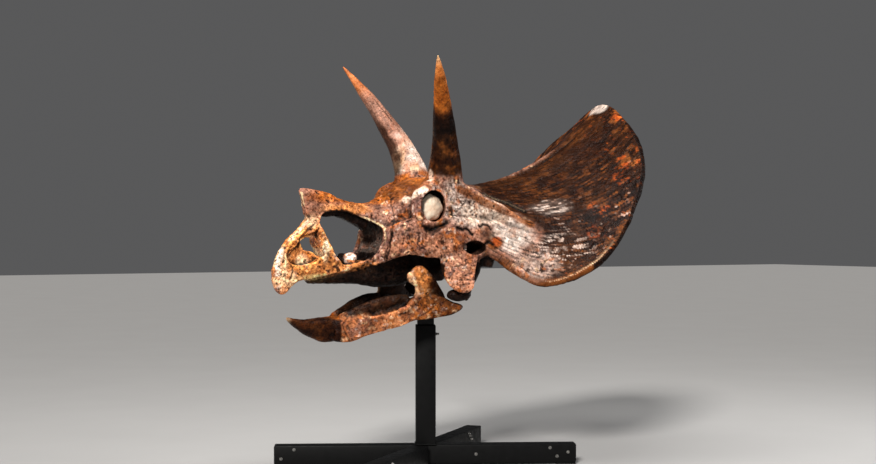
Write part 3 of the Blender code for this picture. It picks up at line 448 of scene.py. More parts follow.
def hanging_loft(name, rows, side, slant=0.0):
    rings = []
    for z, y_front, y_rear, x, half in spline(rows, ROW_STEPS):
        middle, half_length = (y_front + y_rear) / 2, (y_rear - y_front) / 2
        rings.append([(side * (x + across * half + slant * along * half_length),
                       middle + along * half_length, z) for across, along in oval(SIDE_POWER)])
    return loft(name, rings)


def jugal_plate(name, rows, side):
    return hanging_loft(name, rows, side, slant=JUGAL_SLANT)


def bar(name, points, side):
    """A tapered round bar: a curve with bevel, made a mesh."""
    data = bpy.data.curves.new(name, "CURVE")
    data.dimensions = "3D"
    data.bevel_depth = 1.0
    data.bevel_resolution = 6
    data.use_fill_caps = True
    line = data.splines.new("POLY")
    fine = spline(points, 8)
    line.points.add(len(fine) - 1)
    for point, (x, y, z, radius) in zip(line.points, fine):
        point.co = (side * x, y, z, 1.0)
        point.radius = max(radius, 0.004)
    mesh = applied(add_object(name, data))
    bm = bmesh.new()
    bm.from_mesh(mesh)
    bmesh.ops.remove_doubles(bm, verts=bm.verts[:], dist=0.00001)
    return mesh_of(bm, name)


def ball(name, centre, size):
    bm = bmesh.new()
    bmesh.ops.create_uvsphere(bm, u_segments=32, v_segments=20, radius=1.0)
    bmesh.ops.scale(bm, vec=size, verts=bm.verts[:])
    bmesh.ops.translate(bm, vec=centre, verts=bm.verts[:])
    return mesh_of(bm, name)


def prism(name, outline, x_low, x_high, shrink=1.0):
    """An outline in (y, z) carried along X; the end at x_low may be shrunk about its middle."""
    fine = spline(list(outline) + [outline[0]], 5)[:-1]
    mid_y = sum(p[0] for p in fine) / len(fine)
    mid_z = sum(p[1] for p in fine) / len(fine)
    return loft(name, [[(x_low, mid_y + (y - mid_y) * shrink, mid_z + (z - mid_z) * shrink) for y, z in fine],
                       [(x_high, y, z) for y, z in fine]])


def both_sides(points):
    """A line given from the midline outwards, carried on over the other side."""
    return [(-x, y, z) for x, y, z in reversed(points[1:])] + list(points)


# ==== the frill's sheet ====
FRILL_ROOTS = spline(both_sides(FRILL_ROOT), 12)
FRILL_MARGINS = spline(both_sides(FRILL_MARGIN), 12)
FRILL_SAGS = spline(both_sides([(0, 0, dip) for dip in FRILL_SAG]), 12)
SCALLOPS = 22  # low bumps round the whole margin
SCALLOP_HEIGHT = 0.007


def frill_point(share, t):
    """A point of the sheet: share runs from 0 to 1 along the margin, t from the root to the margin."""
    root = spline_at(FRILL_ROOTS, share)
    margin = spline_at(FRILL_MARGINS, share)
    bump = abs(math.sin(math.pi * SCALLOPS * share)) - 0.7
    point = root.lerp(margin, t * (1 + SCALLOP_HEIGHT / 1.1 * bump * max(0.0, t * 4 - 3)))
    point.z -= spline_at(FRILL_SAGS, share).z * 4 * t * (1 - t)
    return point


def margin_line():
    """The middle of the thickened free edge, a little inside the margin."""
    line = []
    for i in range(MARGIN_STEPS + 1):
        edge, inner = (frill_point(i / MARGIN_STEPS, t) for t in (1.0, 0.9))
        line.append((*(edge + (inner - edge).normalized() * MARGIN_INSET), MARGIN_RADIUS))
    return line


def frill_sheet(name):
    bm = bmesh.new()
    grid = [[bm.verts.new(frill_point(i / FRILL_ACROSS, j / FRILL_ALONG)) for j in range(FRILL_ALONG + 1)]
            for i in range(FRILL_ACROSS + 1)]
    for left, right in zip(grid, grid[1:]):
        for j in range(FRILL_ALONG):
            bm.faces.new((left[j], right[j], right[j + 1], left[j + 1]))
    obj = add_object(name, mesh_of(bm, name))
    solid = obj.modifiers.new("thickness", "SOLIDIFY")
    solid.thickness = FRILL_THICKNESS
    solid.offset = 0.0
    return applied(obj)


# ==== fusing ====
def remeshed(name, mesh, voxel, rounds):
    obj = add_object(name, mesh)
    fuse = obj.modifiers.new("fuse", "REMESH")
    fuse.mode = "VOXEL"
    fuse.voxel_size = voxel
    smooth = obj.modifiers.new("smooth", "SMOOTH")
    smooth.factor = 0.5
    smooth.iterations = rounds
    return applied(obj)


def joined(name, meshes):
    bm = bmesh.new()
    for mesh in meshes:
        bm.from_mesh(mesh)
    result = bpy.data.meshes.new(name)
    bm.to_mesh(result)
    bm.free()
    return result


def cut(name, mesh, tools):
    """The mesh with each tool taken away."""
    target = add_object(name, mesh)
    cutters = []
    for tool in tools:
        cutter = add_object("tool", tool)
        taken = target.modifiers.new("cut", "BOOLEAN")
        taken.solver = "MANIFOLD"
        taken.operation = "DIFFERENCE"
        taken.object = cutter
        cutters.append(cutter)
    result = applied(target)
    for cutter in cutters:
        bpy.data.objects.remove(cutter, do_unlink=True)
    return result


def fused(name, meshes, tools, late, voxel):
    """Forms fused into one surface, opened by the tools, at the fine grain; late forms aren't opened."""
    body = remeshed(name, joined(name, meshes), COARSE_VOXEL, COARSE_ROUNDS)
    if tools:
        body = cut(name, body, tools)
    return remeshed(name, joined(name, [body] + late), voxel, FINE_ROUNDS)


def mirrored(place, side):
    x, y, z = place
    return side * x, y, z


def paired(maker, name, rows):
    return [maker(name, rows, side) for _, side in SIDES]


def orbit_disc(name, side, x_low, x_high, half_width, half_height):
    """A short oval drum across the orbit, between two distances from the midline."""
    x_rim, y_rim, z = ORBIT_HOLE
    rings = []
    for x in (x_low, x_high):
        y = y_rim + ORBIT_SLANT * (x - x_rim)
        rings.append([(side * x, y + a * half_width, z + b * half_height) for a, b in oval(2.0)])
    return loft(name, rings)


def cranium_forms():
    forms = [
        midline_loft("snout", SNOUT), midline_loft("nasal roof", NASAL_ROOF),
        midline_loft("face", FACE, power=3.0), midline_loft("palate", PALATE),
        ball("braincase", BRAINCASE, BRAINCASE_SIZE), bar("condyle", CONDYLE, 1),
        bar("crest", CREST, 1), bar("margin", margin_line(), 1), frill_sheet("frill"),
    ]
    forms += paired(side_loft, "cheek", CHEEK)
    forms += paired(side_loft, "temple", TEMPLE)
    forms += paired(jugal_plate, "jugal", JUGAL)
    forms += paired(hanging_loft, "pterygoid wing", PTERYGOID_WING)
    for rows in (SQUAMOSAL_BAR, QUADRATE, PTERYGOID, PAROCCIPITAL, REAR_PROCESS):
        forms += paired(bar, "bar", rows)
    for tag, side in SIDES:
        forms.append(bar("brow horn", BROW_HORN + (HORN_TIPS[tag],), side))
        forms.append(ball("orbit rim", mirrored(ORBIT_RIM, side), ORBIT_RIM_SIZE))
    return forms


def cranium_tools():
    tools = [prism("naris", NARIS, -NARIS_REACH, NARIS_REACH),
             prism("hole", NOSTRIL_HOLE, -NOSTRIL_REACH, NOSTRIL_REACH)]
    rooms = ((CHEEK_WINDOW, CHEEK_WINDOW_SIZE), (ADDUCTOR_ROOM, ADDUCTOR_ROOM_SIZE), *SCOOPS)
    for _, side in SIDES:
        tools.append(prism("fossa", SNOUT_FOSSA, side * FOSSA_FLOOR, side * NOSTRIL_REACH, shrink=0.9))
        tools.append(orbit_disc("orbit", side, ORBIT_FLOOR, ORBIT_REACH, *ORBIT_HOLE_SIZE))
        tools += [ball("room", mirrored(place, side), size) for place, size in rooms]
    return tools


def late_forms():
    """Forms joined on after the openings are cut, so that no cutter takes them away."""
    forms = [ball("knob", mirrored(KNOB, side), KNOB_SIZE) for _, side in SIDES]
    forms.append(midline_loft("keel", NASAL_KEEL))
    return forms + [ball("condyle", mirrored(JAW_JOINT, side), JAW_JOINT_SIZE) for _, side in SIDES]


def jaw_forms():
    forms = [midline_loft("predentary", PREDENTARY)]
    forms += paired(side_loft, "ramus", RAMUS)
    forms += paired(side_loft, "tooth row", TOOTH_ROW)
    forms += paired(hanging_loft, "coronoid", CORONOID)
    return forms


# ==== numbers on a mesh ====
def read(items, key, size, kind=np.float64):
    """One attribute of a mesh's items as rows of numbers."""
    data = np.empty(len(items) * size, np.float32 if kind == np.float64 else np.int32)
    items.foreach_get(key, data)
    return data.reshape(-1, size).astype(kind)


def relaxed(values, edges, rounds):
    """Values averaged over their neighbours, some rounds over."""
    count = np.bincount(edges.ravel(), minlength=len(values)).astype(float)
    for _ in range(rounds):
        mean = np.empty_like(values)
        for axis in range(values.shape[1]):
            mean[:, axis] = (np.bincount(edges[:, 0], values[edges[:, 1], axis], len(values))
                             + np.bincount(edges[:, 1], values[edges[:, 0], axis], len(values)))
        values = 0.5 * values + 0.5 * mean / count[:, None]
    return values


def lattice(x, y, z, seed):
    """A fixed number from -1 to 1 for each whole-number place."""
    mixed = (x * 374761393 + y * 668265263 + z * 1440670441 + seed * 974634777) & 0xFFFFFFFF
    mixed = ((mixed ^ (mixed >> 13)) * 1274126177) & 0xFFFFFFFF
    return ((mixed ^ (mixed >> 16)) & 0xFFFF) / 32767.5 - 1.0


def smooth_noise(points, seed):
    """Value noise from -1 to 1 with features about one unit across."""
    low = np.floor(points).astype(np.int64)
    rest = points - low
    fade = rest ** 3 * (rest * (rest * 6 - 15) + 10)
    total = np.zeros(len(points))
    for corner in range(8):
        step = np.array((corner & 1, corner >> 1 & 1, corner >> 2 & 1))
        share = np.prod(np.where(step, fade, 1 - fade), axis=1)
        total += share * lattice(*(low + step).T, seed)
    return total


def grain(points, size, seed, octaves=3):
    """Noise from about -1 to 1 whose largest features are size across."""
    total = np.zeros(len(points))
    for octave in range(octaves):
        total += smooth_noise(points * (2 ** octave / size) + 17.3 * octave, seed + octave) / 2 ** octave
    return total / (2 - 2 / 2 ** octaves)


def step_up(value, low, high):
    """0 below low, 1 above high, smooth between."""
    t = np.clip((value - low) / (high - low), 0, 1)
    return t * t * (3 - 2 * t)


def band(value, low, full, fading, high):
    """1 from full to fading, 0 below low and above high, smooth between."""
    return step_up(value, low, full) * (1 - step_up(value, fading, high))


def away_from(points, line, reach):
    """Distance of each point from a line of points, never more than reach."""
    nearest = np.full(len(points), reach)
    line = np.array(line)
    for a, b in zip(line, line[1:]):
        low, high = np.minimum(a, b) - reach, np.maximum(a, b) + reach
        close = np.flatnonzero(np.all((points > low) & (points < high), axis=1))
        if len(close) == 0:
            continue
        run = b - a
        t = np.clip(((points[close] - a) @ run) / (run @ run), 0, 1)
        gap = np.linalg.norm(points[close] - a - t[:, None] * run, axis=1)
        nearest[close] = np.minimum(nearest[close], gap)
    return nearest


# ==== carving the fine surface ====
class Surface:
    """A bone mesh held as numbers while it is carved and coloured."""

    def __init__(self, mesh):
        self.mesh = mesh
        self.points = read(mesh.vertices, "co", 3)
        self.normals = read(mesh.vertex_normals, "vector", 3)
        self.edges = read(mesh.edges, "vertices", 2, np.int64)
        self.lift = np.zeros(len(self.points))
        self.dark = np.zeros(len(self.points))
        self.wander = np.stack([grain(self.points, 0.035, seed, 2) for seed in (71, 72, 73)], axis=1)
        self.tree = KDTree(len(self.points))
        for i, point in enumerate(self.points):
            self.tree.insert(point, i)
        self.tree.balance()

    def snapped(self, line, side):
        """A line of points laid onto the surface, on one side."""
        return [self.tree.find((side * x, y, z))[0] for x, y, z in spline(line, 5)]

    def carve(self, lines):
        for depth, half, darkness, line in lines:
            for _, side in SIDES:
                moved = self.points + self.wander * min(0.006, abs(depth))
                uneven = 1 + 0.45 * self.wander[:, 0]
                gap = away_from(moved, self.snapped(line, side), 3 * half) / uneven
                fall = np.exp(-(gap / half) ** 2) - math.exp(-9)
                self.lift -= depth * fall
                # darkness: painted shade laid into the groove
                self.dark = np.maximum(self.dark, darkness * fall)

    def raise_all(self):
        """Moves the points by their lift, and reads how hollow or raised each place is."""
        self.points = self.points + self.normals * self.lift[:, None]
        self.mesh.vertices.foreach_set("co", self.points.astype(np.float32).ravel())
        self.mesh.update()
        self.normals = read(self.mesh.vertex_normals, "vector", 3)
        near = relaxed(self.points, self.edges, 8)
        wide = relaxed(near, self.edges, 40)
        fine = np.sum((near - self.points) * self.normals, axis=1) / 0.0012
        broad = np.sum((wide - self.points) * self.normals, axis=1) / 0.008
        self.hollow = np.clip(0.6 * fine + 0.6 * broad, -1, 1)


def zone(points, centre, radii, warp):
    """1 in the middle of an ellipsoid, falling to 0 at its ragged edge."""
    reach = np.linalg.norm((points - centre) / radii, axis=1) + 0.28 * warp
    return 1 - step_up(reach, 0.55, 1.05)


def blend(colours, colour, weight):
    return colours + (np.array(colour) - colours) * np.clip(weight, 0, 1)[:, None]


def coat(tone, like):
    """One colour for every item."""
    return np.tile(np.array(tone), (len(like), 1))


def layered(colour, *layers):
    """A colour with (tone, weight) layers laid over it in turn."""
    for tone, weight in layers:
        colour = blend(colour, tone, weight)
    return colour


def grainy(colour, p):
    """A colour made lighter and darker in small grains."""
    return colour * (1 + 0.6 * np.clip(grain(p, 0.018, 91, 2), -0.8, 0.9))[:, None]


def fold(points):
    """Points with the right side laid over the left."""
    return np.abs(points) * (1, 0, 0) + points * (0, 1, 1)


def radiating(share, t, across, along):
    """Places on the frill for noise in rays from the root to the margin."""
    return np.stack([share * across, t * along, share * 0], axis=1)


def frill_places(points):
    """Each point's share along the margin, place from root to margin, and how surely it is on the sheet."""
    across, along = FRILL_GRID
    grid = [(i / across, j / along) for i in range(across + 1) for j in range(along + 1)]
    tree = KDTree(len(grid))
    for i, (share, t) in enumerate(grid):
        tree.insert(frill_point(share, t), i)
    tree.balance()
    share, t, gap = np.full(len(points), 0.5), np.zeros(len(points)), np.zeros(len(points))
    behind = points[:, 1] > FRILL_FRONT
    for i in np.flatnonzero(behind):
        _, index, gap[i] = tree.find(points[i])
        share[i], t[i] = grid[index]
    on = np.where(behind, 1 - step_up(gap, 0.030, 0.050), 0)
    return share, t, on


def horn_places(points, side):
    """Place along a brow horn from foot (0) to tip (1), the turn about it, and the distance from its axis."""
    line = np.array([p[:3] for p in spline(BROW_HORN[1:] + (HORN_TIPS["left" if side > 0 else "right"],), 8)])
    line[:, 0] *= side
    best = np.full(len(points), 1.0)
    along = np.zeros(len(points))
    offset = np.zeros((len(points), 3))
    near = np.flatnonzero((points[:, 2] > 1.60) & (points[:, 0] * side > 0) & (points[:, 1] < 0.20))
    for i, (a, b) in enumerate(zip(line, line[1:])):
        run = b - a
        t = np.clip(((points[near] - a) @ run) / (run @ run), 0, 1)
        arm = points[near] - a - t[:, None] * run
        gap = np.linalg.norm(arm, axis=1)
        better = gap < best[near]
        chosen = near[better]
        best[chosen] = gap[better]
        along[chosen] = (i + t[better]) / (len(line) - 1)
        offset[chosen] = arm[better]
    turn = np.arctan2(offset[:, 0] * side, -offset[:, 1])
    return along, turn, best


def carve_cranium(bone):
    """Rugged relief on the face, rays and vessel grooves on the frill, streaks along the horns."""
    p = bone.points
    share, t, on = frill_places(p)
    bone.share, bone.t, bone.on = share, t, on
    bone.horns = {side: horn_places(p, side) for _, side in SIDES}
    bone.horn = np.zeros(len(p))
    for side, (along, turn, gap) in bone.horns.items():
        on_horn = step_up(along, 0.02, 0.14) * (gap < HORN_REACH)
        streaks = grain(np.stack([np.cos(turn) * 3.2, np.sin(turn) * 3.2, along * 6 + side], axis=1), 1.0, 41)
        bone.lift += on_horn * (0.0030 * streaks - 0.0045 * step_up(-streaks, 0.45, 0.8)) * (1 - 0.6 * along)
        bone.horn = np.maximum(bone.horn, on_horn)
    open_frill = on * step_up(t, 0.06, 0.22)
    rugged = 1 - 0.55 * open_frill - 0.6 * bone.horn
    bone.lift += 0.0035 * grain(p, 0.16, 1, 2)
    bone.lift += rugged * (0.0030 * grain(p, 0.045, 4, 3))
    bone.lift -= rugged * 0.0055 * step_up(grain(p, 0.026, 9, 2), 0.35, 0.75)
    bone.lift += rugged * 0.0022 * grain(p, 0.018, 15, 2)
    rays = grain(radiating(share, t, 95, 4.5), 1.0, 21, 3)
    vessels = np.abs(grain(radiating(share, t, 34, 3), 1.0, 25, 2))
    bone.lift += open_frill * (0.0026 * rays - 0.0020 * (1 - step_up(vessels, 0.0, 0.10)))
    bone.dark = np.maximum(bone.dark, 0.30 * open_frill * (1 - step_up(vessels, 0.0, 0.08)))
    bone.carve(CARVED)
    bone.lift += 0.010 * inside_of(p, KNOB, KNOB_SIZE) * grain(p, 0.024, 87, 2)
    bone.raise_all()


def carve_jaw(bone):
    p = bone.points
    bone.lift += 0.0025 * grain(p, 0.12, 1, 2) + 0.0022 * grain(p, 0.035, 4, 3)
    bone.lift -= 0.004 * step_up(grain(p, 0.022, 9, 2), 0.4, 0.8)
    bone.carve(JAW_CARVED)
    bone.raise_all()


def inside_of(points, centre, radii):
    """1 on the wall that an ellipsoid cutter left, 0 outside it."""
    return 1 - step_up(np.linalg.norm((fold(points) - centre) / radii, axis=1), 1.0, 1.16)


def below(y, z, line):
    """1 under a line of (y, z) places, 0 above it."""
    edge = np.interp(y, [p[0] for p in line], [p[1] for p in line])
    return (1 - step_up(z - edge, -0.010, 0.010)) * (y > line[0][0]) * (y < line[-1][0])


def paint_frill(bone, warp, mottle):
    """The frill's sheet: near black in the middle, brown and streaked outwards, with rusty spots, a painted
    sheen patch, a painted highlight on the lit lip and painted shadow on the outer edge.
    """
    p = bone.points
    places = fold(p)
    share, t, on = bone.share, bone.t, bone.on * step_up(bone.t, 0.04, 0.16)
    side = np.abs(share - 0.5) * 2
    rays = grain(radiating(share, t, 130, 7), 1.0, 83, 3)
    fine = grain(radiating(share, t, 250, 26), 1.0, 87, 2)
    low_side = step_up(side + 0.20 * warp, 0.45, 0.75)
    sheet = layered(
        coat(UMBER, p),
        (OCHRE, 0.20 + 0.8 * low_side + 0.5 * warp),
        (BURNT, step_up(fine + 0.6 * mottle, 0.0, 0.7) * (0.25 + 0.7 * low_side)),
        (BURNT, 0.6 * step_up(t, 0.60, 0.95) * step_up(mottle + 0.6 * fine, 0.0, 0.5)))
    ragged = step_up(grain(p, 0.020, 121, 3) + 0.5 * fine, -0.05, 0.30)
    for spot in FRILL_SPOTS:
        spotted = zone(places, spot, (SPOT_RADIUS,) * 3, 2.0 * mottle + 0.8 * fine)
        sheet = blend(sheet, RUST, 0.60 * ragged * spotted)
    flecks = step_up(grain(p, 0.024, 57, 2) + 0.5 * rays, 0.50, 0.80)
    sheen = zone(places, (0.385, 0.640, 1.535), (0.12, 0.17, 0.07), warp)
    lower = zone(places, (0.600, 0.600, 1.290), (0.15, 0.22, 0.13), warp)
    threads = (1 - step_up(np.abs(rays), 0.02, 0.10)) * step_up(side, 0.2, 0.5)
    # the sheen patch is painted sheen; the lower chalk patch is pale bone with a painted highlight
    sheet = layered(
        sheet,
        (UMBER, 0.8 * zone(places, (0.22, 1.030, 1.900), (0.22, 0.20, 0.16), warp)),
        (RUST, 0.6 * flecks * step_up(t, 0.78, 0.94)),
        (CHALK, 0.6 * sheen * (0.15 + 0.85 * step_up(rays + 0.8 * fine, -0.1, 0.6))),
        (CHALK, 0.6 * lower * step_up(rays + fine, 0.0, 0.7)),
        (CHALK, 0.35 * threads * step_up(fine + mottle, 0.1, 0.6)),
        (CHALK, 0.9 * zone(places, (0.03, 1.270, 2.180), (0.06, 0.06, 0.06), warp)))
    sheet = sheet * (1 + 0.9 * np.clip(fine, -0.8, 1))[:, None]
    crown = (1 - step_up(side, 0.05, 0.10)) * band(t, 0.15, 0.3, 0.90, 0.95)
    # painted highlight on the lit lip, painted shadow on the outer edge
    rim = band(t, 0.945, 0.960, 0.972, 0.980) * step_up(side, 0.55, 0.75)
    edge = step_up(t, 0.982, 0.992) * (side > 0.12)
    return layered(sheet, (OCHRE, 0.35 * crown), (CREAM, 0.8 * rim), (SHADE_AND_HORN_BLACK, 0.9 * edge)), on


def paint_horn(side, along, turn, warp, mottle):
    """The left horn dark with an orange tip, the right one pale tan."""
    if side > 0:
        return layered(
            coat(UMBER, along),
            (OCHRE, 0.4 + 1.2 * mottle),
            (BURNT, step_up(mottle, 0.15, 0.5) * 0.6),
            (SHADE_AND_HORN_BLACK, 0.9 * np.exp(-((along - 0.45) / 0.10) ** 2)),
            (ORANGE, step_up(along + 0.10 * warp, 0.52, 0.64) * (0.75 + 0.6 * mottle)),
            (GOLD, 0.6 * step_up(along + 0.1 * mottle, 0.75, 0.95)),
            (CREAM, 0.45 * step_up(along, 0.90, 0.99)),
            (GREY_BROWN, 0.6 * (1 - step_up(along + 0.1 * mottle, 0.02, 0.14))))
    dark_side = step_up(np.cos(turn - 0.4) + 0.5 * warp, 0.45, 0.85) * (1 - step_up(along, 0.5, 0.8))
    tone = layered(
        coat(CHALK, along),
        (PINK_TAN, 0.35 + 0.9 * mottle),
        (CREAM, 0.75 * step_up(warp, -0.1, 0.4) * (1 - step_up(along, 0.22, 0.40))),
        (GREY_BROWN, 0.95 * step_up(along + 0.3 * warp, 0.25, 0.50)),
        (UMBER, 0.85 * dark_side),
        (ORANGE, 0.7 * step_up(along + 0.1 * warp, 0.66, 0.85)))
    return tone * (1.08 - 0.25 * step_up(along, 0.3, 0.6))[:, None]


def painted_shade_places(bone):
    """How strongly each place of the cranium is painted near black as shade: inside the openings and hollows,
    under the upper jaw and cheeks, on the far knob, the nasal keel and the orbit's upper part.
    """
    p = bone.points
    places = fold(p)
    x, y, z = places.T
    # painted shade on the naris roof's downward-facing inner side; the keel below it is painted black as
    # shade too
    roof = (1 - step_up(bone.normals[:, 2], -0.30, 0.0)) * band(y, -0.72, -0.68, -0.34, -0.30)
    roof *= band(z, 1.38, 1.42, 1.53, 1.56) * (1 - step_up(x, 0.075, 0.095))
    keel = (x < 0.060) * step_up(y, -0.71, -0.69) * (y < -0.40) * (z < 1.512) * (z > 1.38)
    inner = (z < 1.30) * (y > -0.86) * (y < 0.26) * (1 - step_up(x, 0.20, 0.25))
    behind = (y > -0.06) * (y < 0.230) * (z < 1.215)
    behind = behind * (1 - step_up(x - JUGAL_SLANT * (y - 0.03), 0.325, 0.338))
    spur = np.linalg.norm((places - REAR_PROCESS[2][:3]) / SPUR_REACH, axis=1)
    across = y + 0.102 + ORBIT_SLANT * (ORBIT_HOLE[0] - x)
    up = z - ORBIT_HOLE[2]
    socket = np.linalg.norm(np.stack([across, up], axis=1) / SOCKET_SHADE, axis=1)
    socket = (1 - step_up(socket, 0.93, 1.02)) * step_up(up - 0.8 * across, -0.02, 0.02)
    socket *= (x > 0.15) * (x < 0.285)
    return np.maximum.reduce([
        inside_of(p, CHEEK_WINDOW, CHEEK_WINDOW_SIZE),
        inside_of(p, ADDUCTOR_ROOM, ADDUCTOR_ROOM_SIZE) * (1 - step_up(x, 0.235, 0.262)),
        inside_of(p, SCOOPS[1][0], np.array(SCOOPS[1][1]) * (1.5, 1.0, 1.05)),
        # the far knob is painted black as shade
        inside_of(p, (0.03, -0.53, 1.225), (0.09, 0.060, 0.055)) * (p[:, 0] < 0.03),
        inside_of(p, JAW_JOINT, np.array(JAW_JOINT_SIZE) * 1.15),
        inner * below(y, z, PALATE_LINE),
        below(y, z, SHADE_LINE) * (x < 0.34) * (y < -0.05),
        (x < 0.368) * (z < 1.085) * (y > 0.01),
        1 - step_up(spur, 0.9, 1.05),
        roof, keel, behind, socket])


def marbled(colour, p, strength, pale):
    """Patches of violet grey, rust, cream and near black, as in stained bone; pale scales the light ones."""
    for tone, size, seed, low, high, share in MARBLING:
        weight = strength * (pale if tone in (CREAM, CHALK) else 1)
        colour = blend(colour, tone, weight * share * step_up(grain(p, size, seed, 3), low, high))
    return colour


def streaked(colour, bone, mottle):
    """The painted lines; the white ones are painted highlights, on the lit left side only, as the photo
    shows.
    """
    for tone, half, strength, line in STREAKS:
        worn_tone = blend(coat(tone, mottle), ORANGE, 0.5 * step_up(mottle, 0.2, 0.5))
        for _, side in SIDES:
            gap = away_from(bone.points + bone.wander * 0.005, bone.snapped(line, side), 2 * half)
            # the white lines are painted highlights, so only the lit left side gets them
            shown = side > 0 or tone is not WHITE
            colour = blend(colour, worn_tone, shown * strength * (1 - step_up(gap, 0.7 * half, 1.5 * half)))
    return colour


def paint_cranium(bone):
    p = bone.points
    places = fold(p)
    x, y, z = places.T
    warp, mottle = grain(p, 0.10, 31), grain(p, 0.045, 35)
    colour = layered(coat(GREY_BROWN, p), *((tone, strength * zone(places, centre, radii, warp))
                                            for tone, centre, radii, strength in ZONES))
    chalky = zone(places, (0.43, 0.28, 1.40), (0.22, 0.30, 0.28), warp)
    orange_parts = np.maximum(step_up(z, 1.47, 1.52) * (y < -0.35),
                              zone(places, (0.08, -0.180, 1.690), (0.26, 0.20, 0.13), warp))
    snout = zone(places, (0.04, -0.780, 1.270), (0.16, 0.160, 0.260), 0.5 * warp)
    stained = (1 - 0.65 * chalky) * (1 - 0.6 * orange_parts) * (1 - 0.5 * snout)
    colour = marbled(colour, p, stained, 1 - 0.9 * orange_parts)
    colour = grainy(np.minimum(colour * (1 + 0.3 * snout)[:, None], 0.95), p)
    sheet, on = paint_frill(bone, warp, mottle)
    squamosal = np.maximum(zone(places, (0.44, 0.33, 1.38), (0.17, 0.20, 0.22), warp),
                           zone(places, (0.55, 0.43, 1.20), (0.17, 0.20, 0.12), warp))
    colour = blend(colour, sheet, on * (1 - 0.95 * squamosal))
    for side, (along, turn, gap) in bone.horns.items():
        on_horn = step_up(along, 0.02 if side > 0 else 0.06, 0.13) * (gap < HORN_REACH)
        colour = blend(colour, paint_horn(side, along, turn, warp, mottle), on_horn)
    # painted shade: the forward-facing rear wall of the nasal room is painted dark grey
    wall = (1 - step_up(bone.normals[:, 1], -0.5, -0.15)) * band(y, -0.45, -0.40, -0.33, -0.30)
    wall *= band(z, 1.24, 1.28, 1.44, 1.47) * (1 - step_up(x, 0.12, 0.15))
    colour = streaked(blend(colour, SHADED_WALL_GREY, 0.9 * wall * (1 + 0.5 * mottle)), bone, mottle)
    lump = (p[:, 0] > 0.03) * inside_of(p, KNOB, KNOB_SIZE)
    colour = blend(colour, KNOB_WHITE, lump * (1 - 0.9 * step_up(grain(p, 0.020, 119, 2), 0.2, 0.5)))
    # painted shade: near black over the openings, the mouth and under the cheeks
    return hollows_darker_ridges_paler(blend(colour, SHADE_AND_HORN_BLACK, 0.97 * painted_shade_places(bone)), bone)


def speckle_of(bone):
    """How strongly the fine speckle of the material shows, from 0 to 1."""
    brow = zone(fold(bone.points), (0.08, -0.200, 1.670), (0.26, 0.20, 0.13), 0)
    return np.clip(1.0 - 0.6 * bone.on - 0.35 * bone.horn - 0.6 * brow, 0, 1)


def paint_jaw(bone):
    p = bone.points
    x, y, z = fold(p).T
    warp, mottle = grain(p, 0.10, 31), grain(p, 0.045, 35)
    hook = step_up(z, 1.00, 1.05) * (1 - step_up(y, -0.13, -0.09))
    colour = layered(
        coat(JAW_BROWN, p),
        (GOLD, 0.15 + 0.9 * mottle),
        (GOLD, 0.9 * hook),
        (CREAM, 0.6 * hook * (1 - step_up(y + 0.4 * (z - 1.1), -0.215, -0.19))),
        (BURNT, 0.8 * step_up(y + 0.5 * (1.0 - z) + 0.03 * warp, -0.11, -0.06)),
        # painted shade: the darker band just beneath the cheek
        (BURNT, 0.7 * band(z, 0.94, 0.98, 0.99, 1.03) * (y > -0.24)),
        (PINK_TAN, 0.35 * (1 - step_up(y, -0.25, -0.18))))
    colour = grainy(marbled(colour, p, 0.70, 1.2), p)
    beak = layered(
        coat(UMBER, p),
        (BURNT, 0.10 + 0.7 * mottle),
        (ORANGE, 0.6 * step_up(z - 0.10 * (-0.6 - y) + 0.01 * warp, 0.882, 0.900)),
        (CREAM, 0.6 * (1 - step_up(y, -0.93, -0.88))))
    colour = blend(colour, beak, 1 - step_up(y + 0.02 * warp, -0.605, -0.590))
    # painted shade: the jaw's inner side and, in front of the coronoid, its upper part
    inner = (1 - step_up(x - 0.37 * (y + 0.7), 0.02, 0.05)) * step_up(y, -0.60, -0.55) * (z > 0.90)
    shade = below(y, -z, [(a, -b) for a, b in JAW_SHADE_LINE]) * (x < 0.235)
    return hollows_darker_ridges_paler(blend(colour, SHADE_AND_HORN_BLACK, 0.95 * np.maximum(inner, 0.95 * shade)), bone)


def hollows_darker_ridges_paler(colour, bone):
    """Hollows darker and raised edges paler; carved grooves darkened by their painted shade."""
    colour = colour * (1 - 0.88 * np.clip(bone.hollow, 0, 1))[:, None]
    colour = colour * (1 + 0.75 * np.clip(-bone.hollow, 0, 1))[:, None]
    return colour * (1 - 0.97 * bone.dark)[:, None]


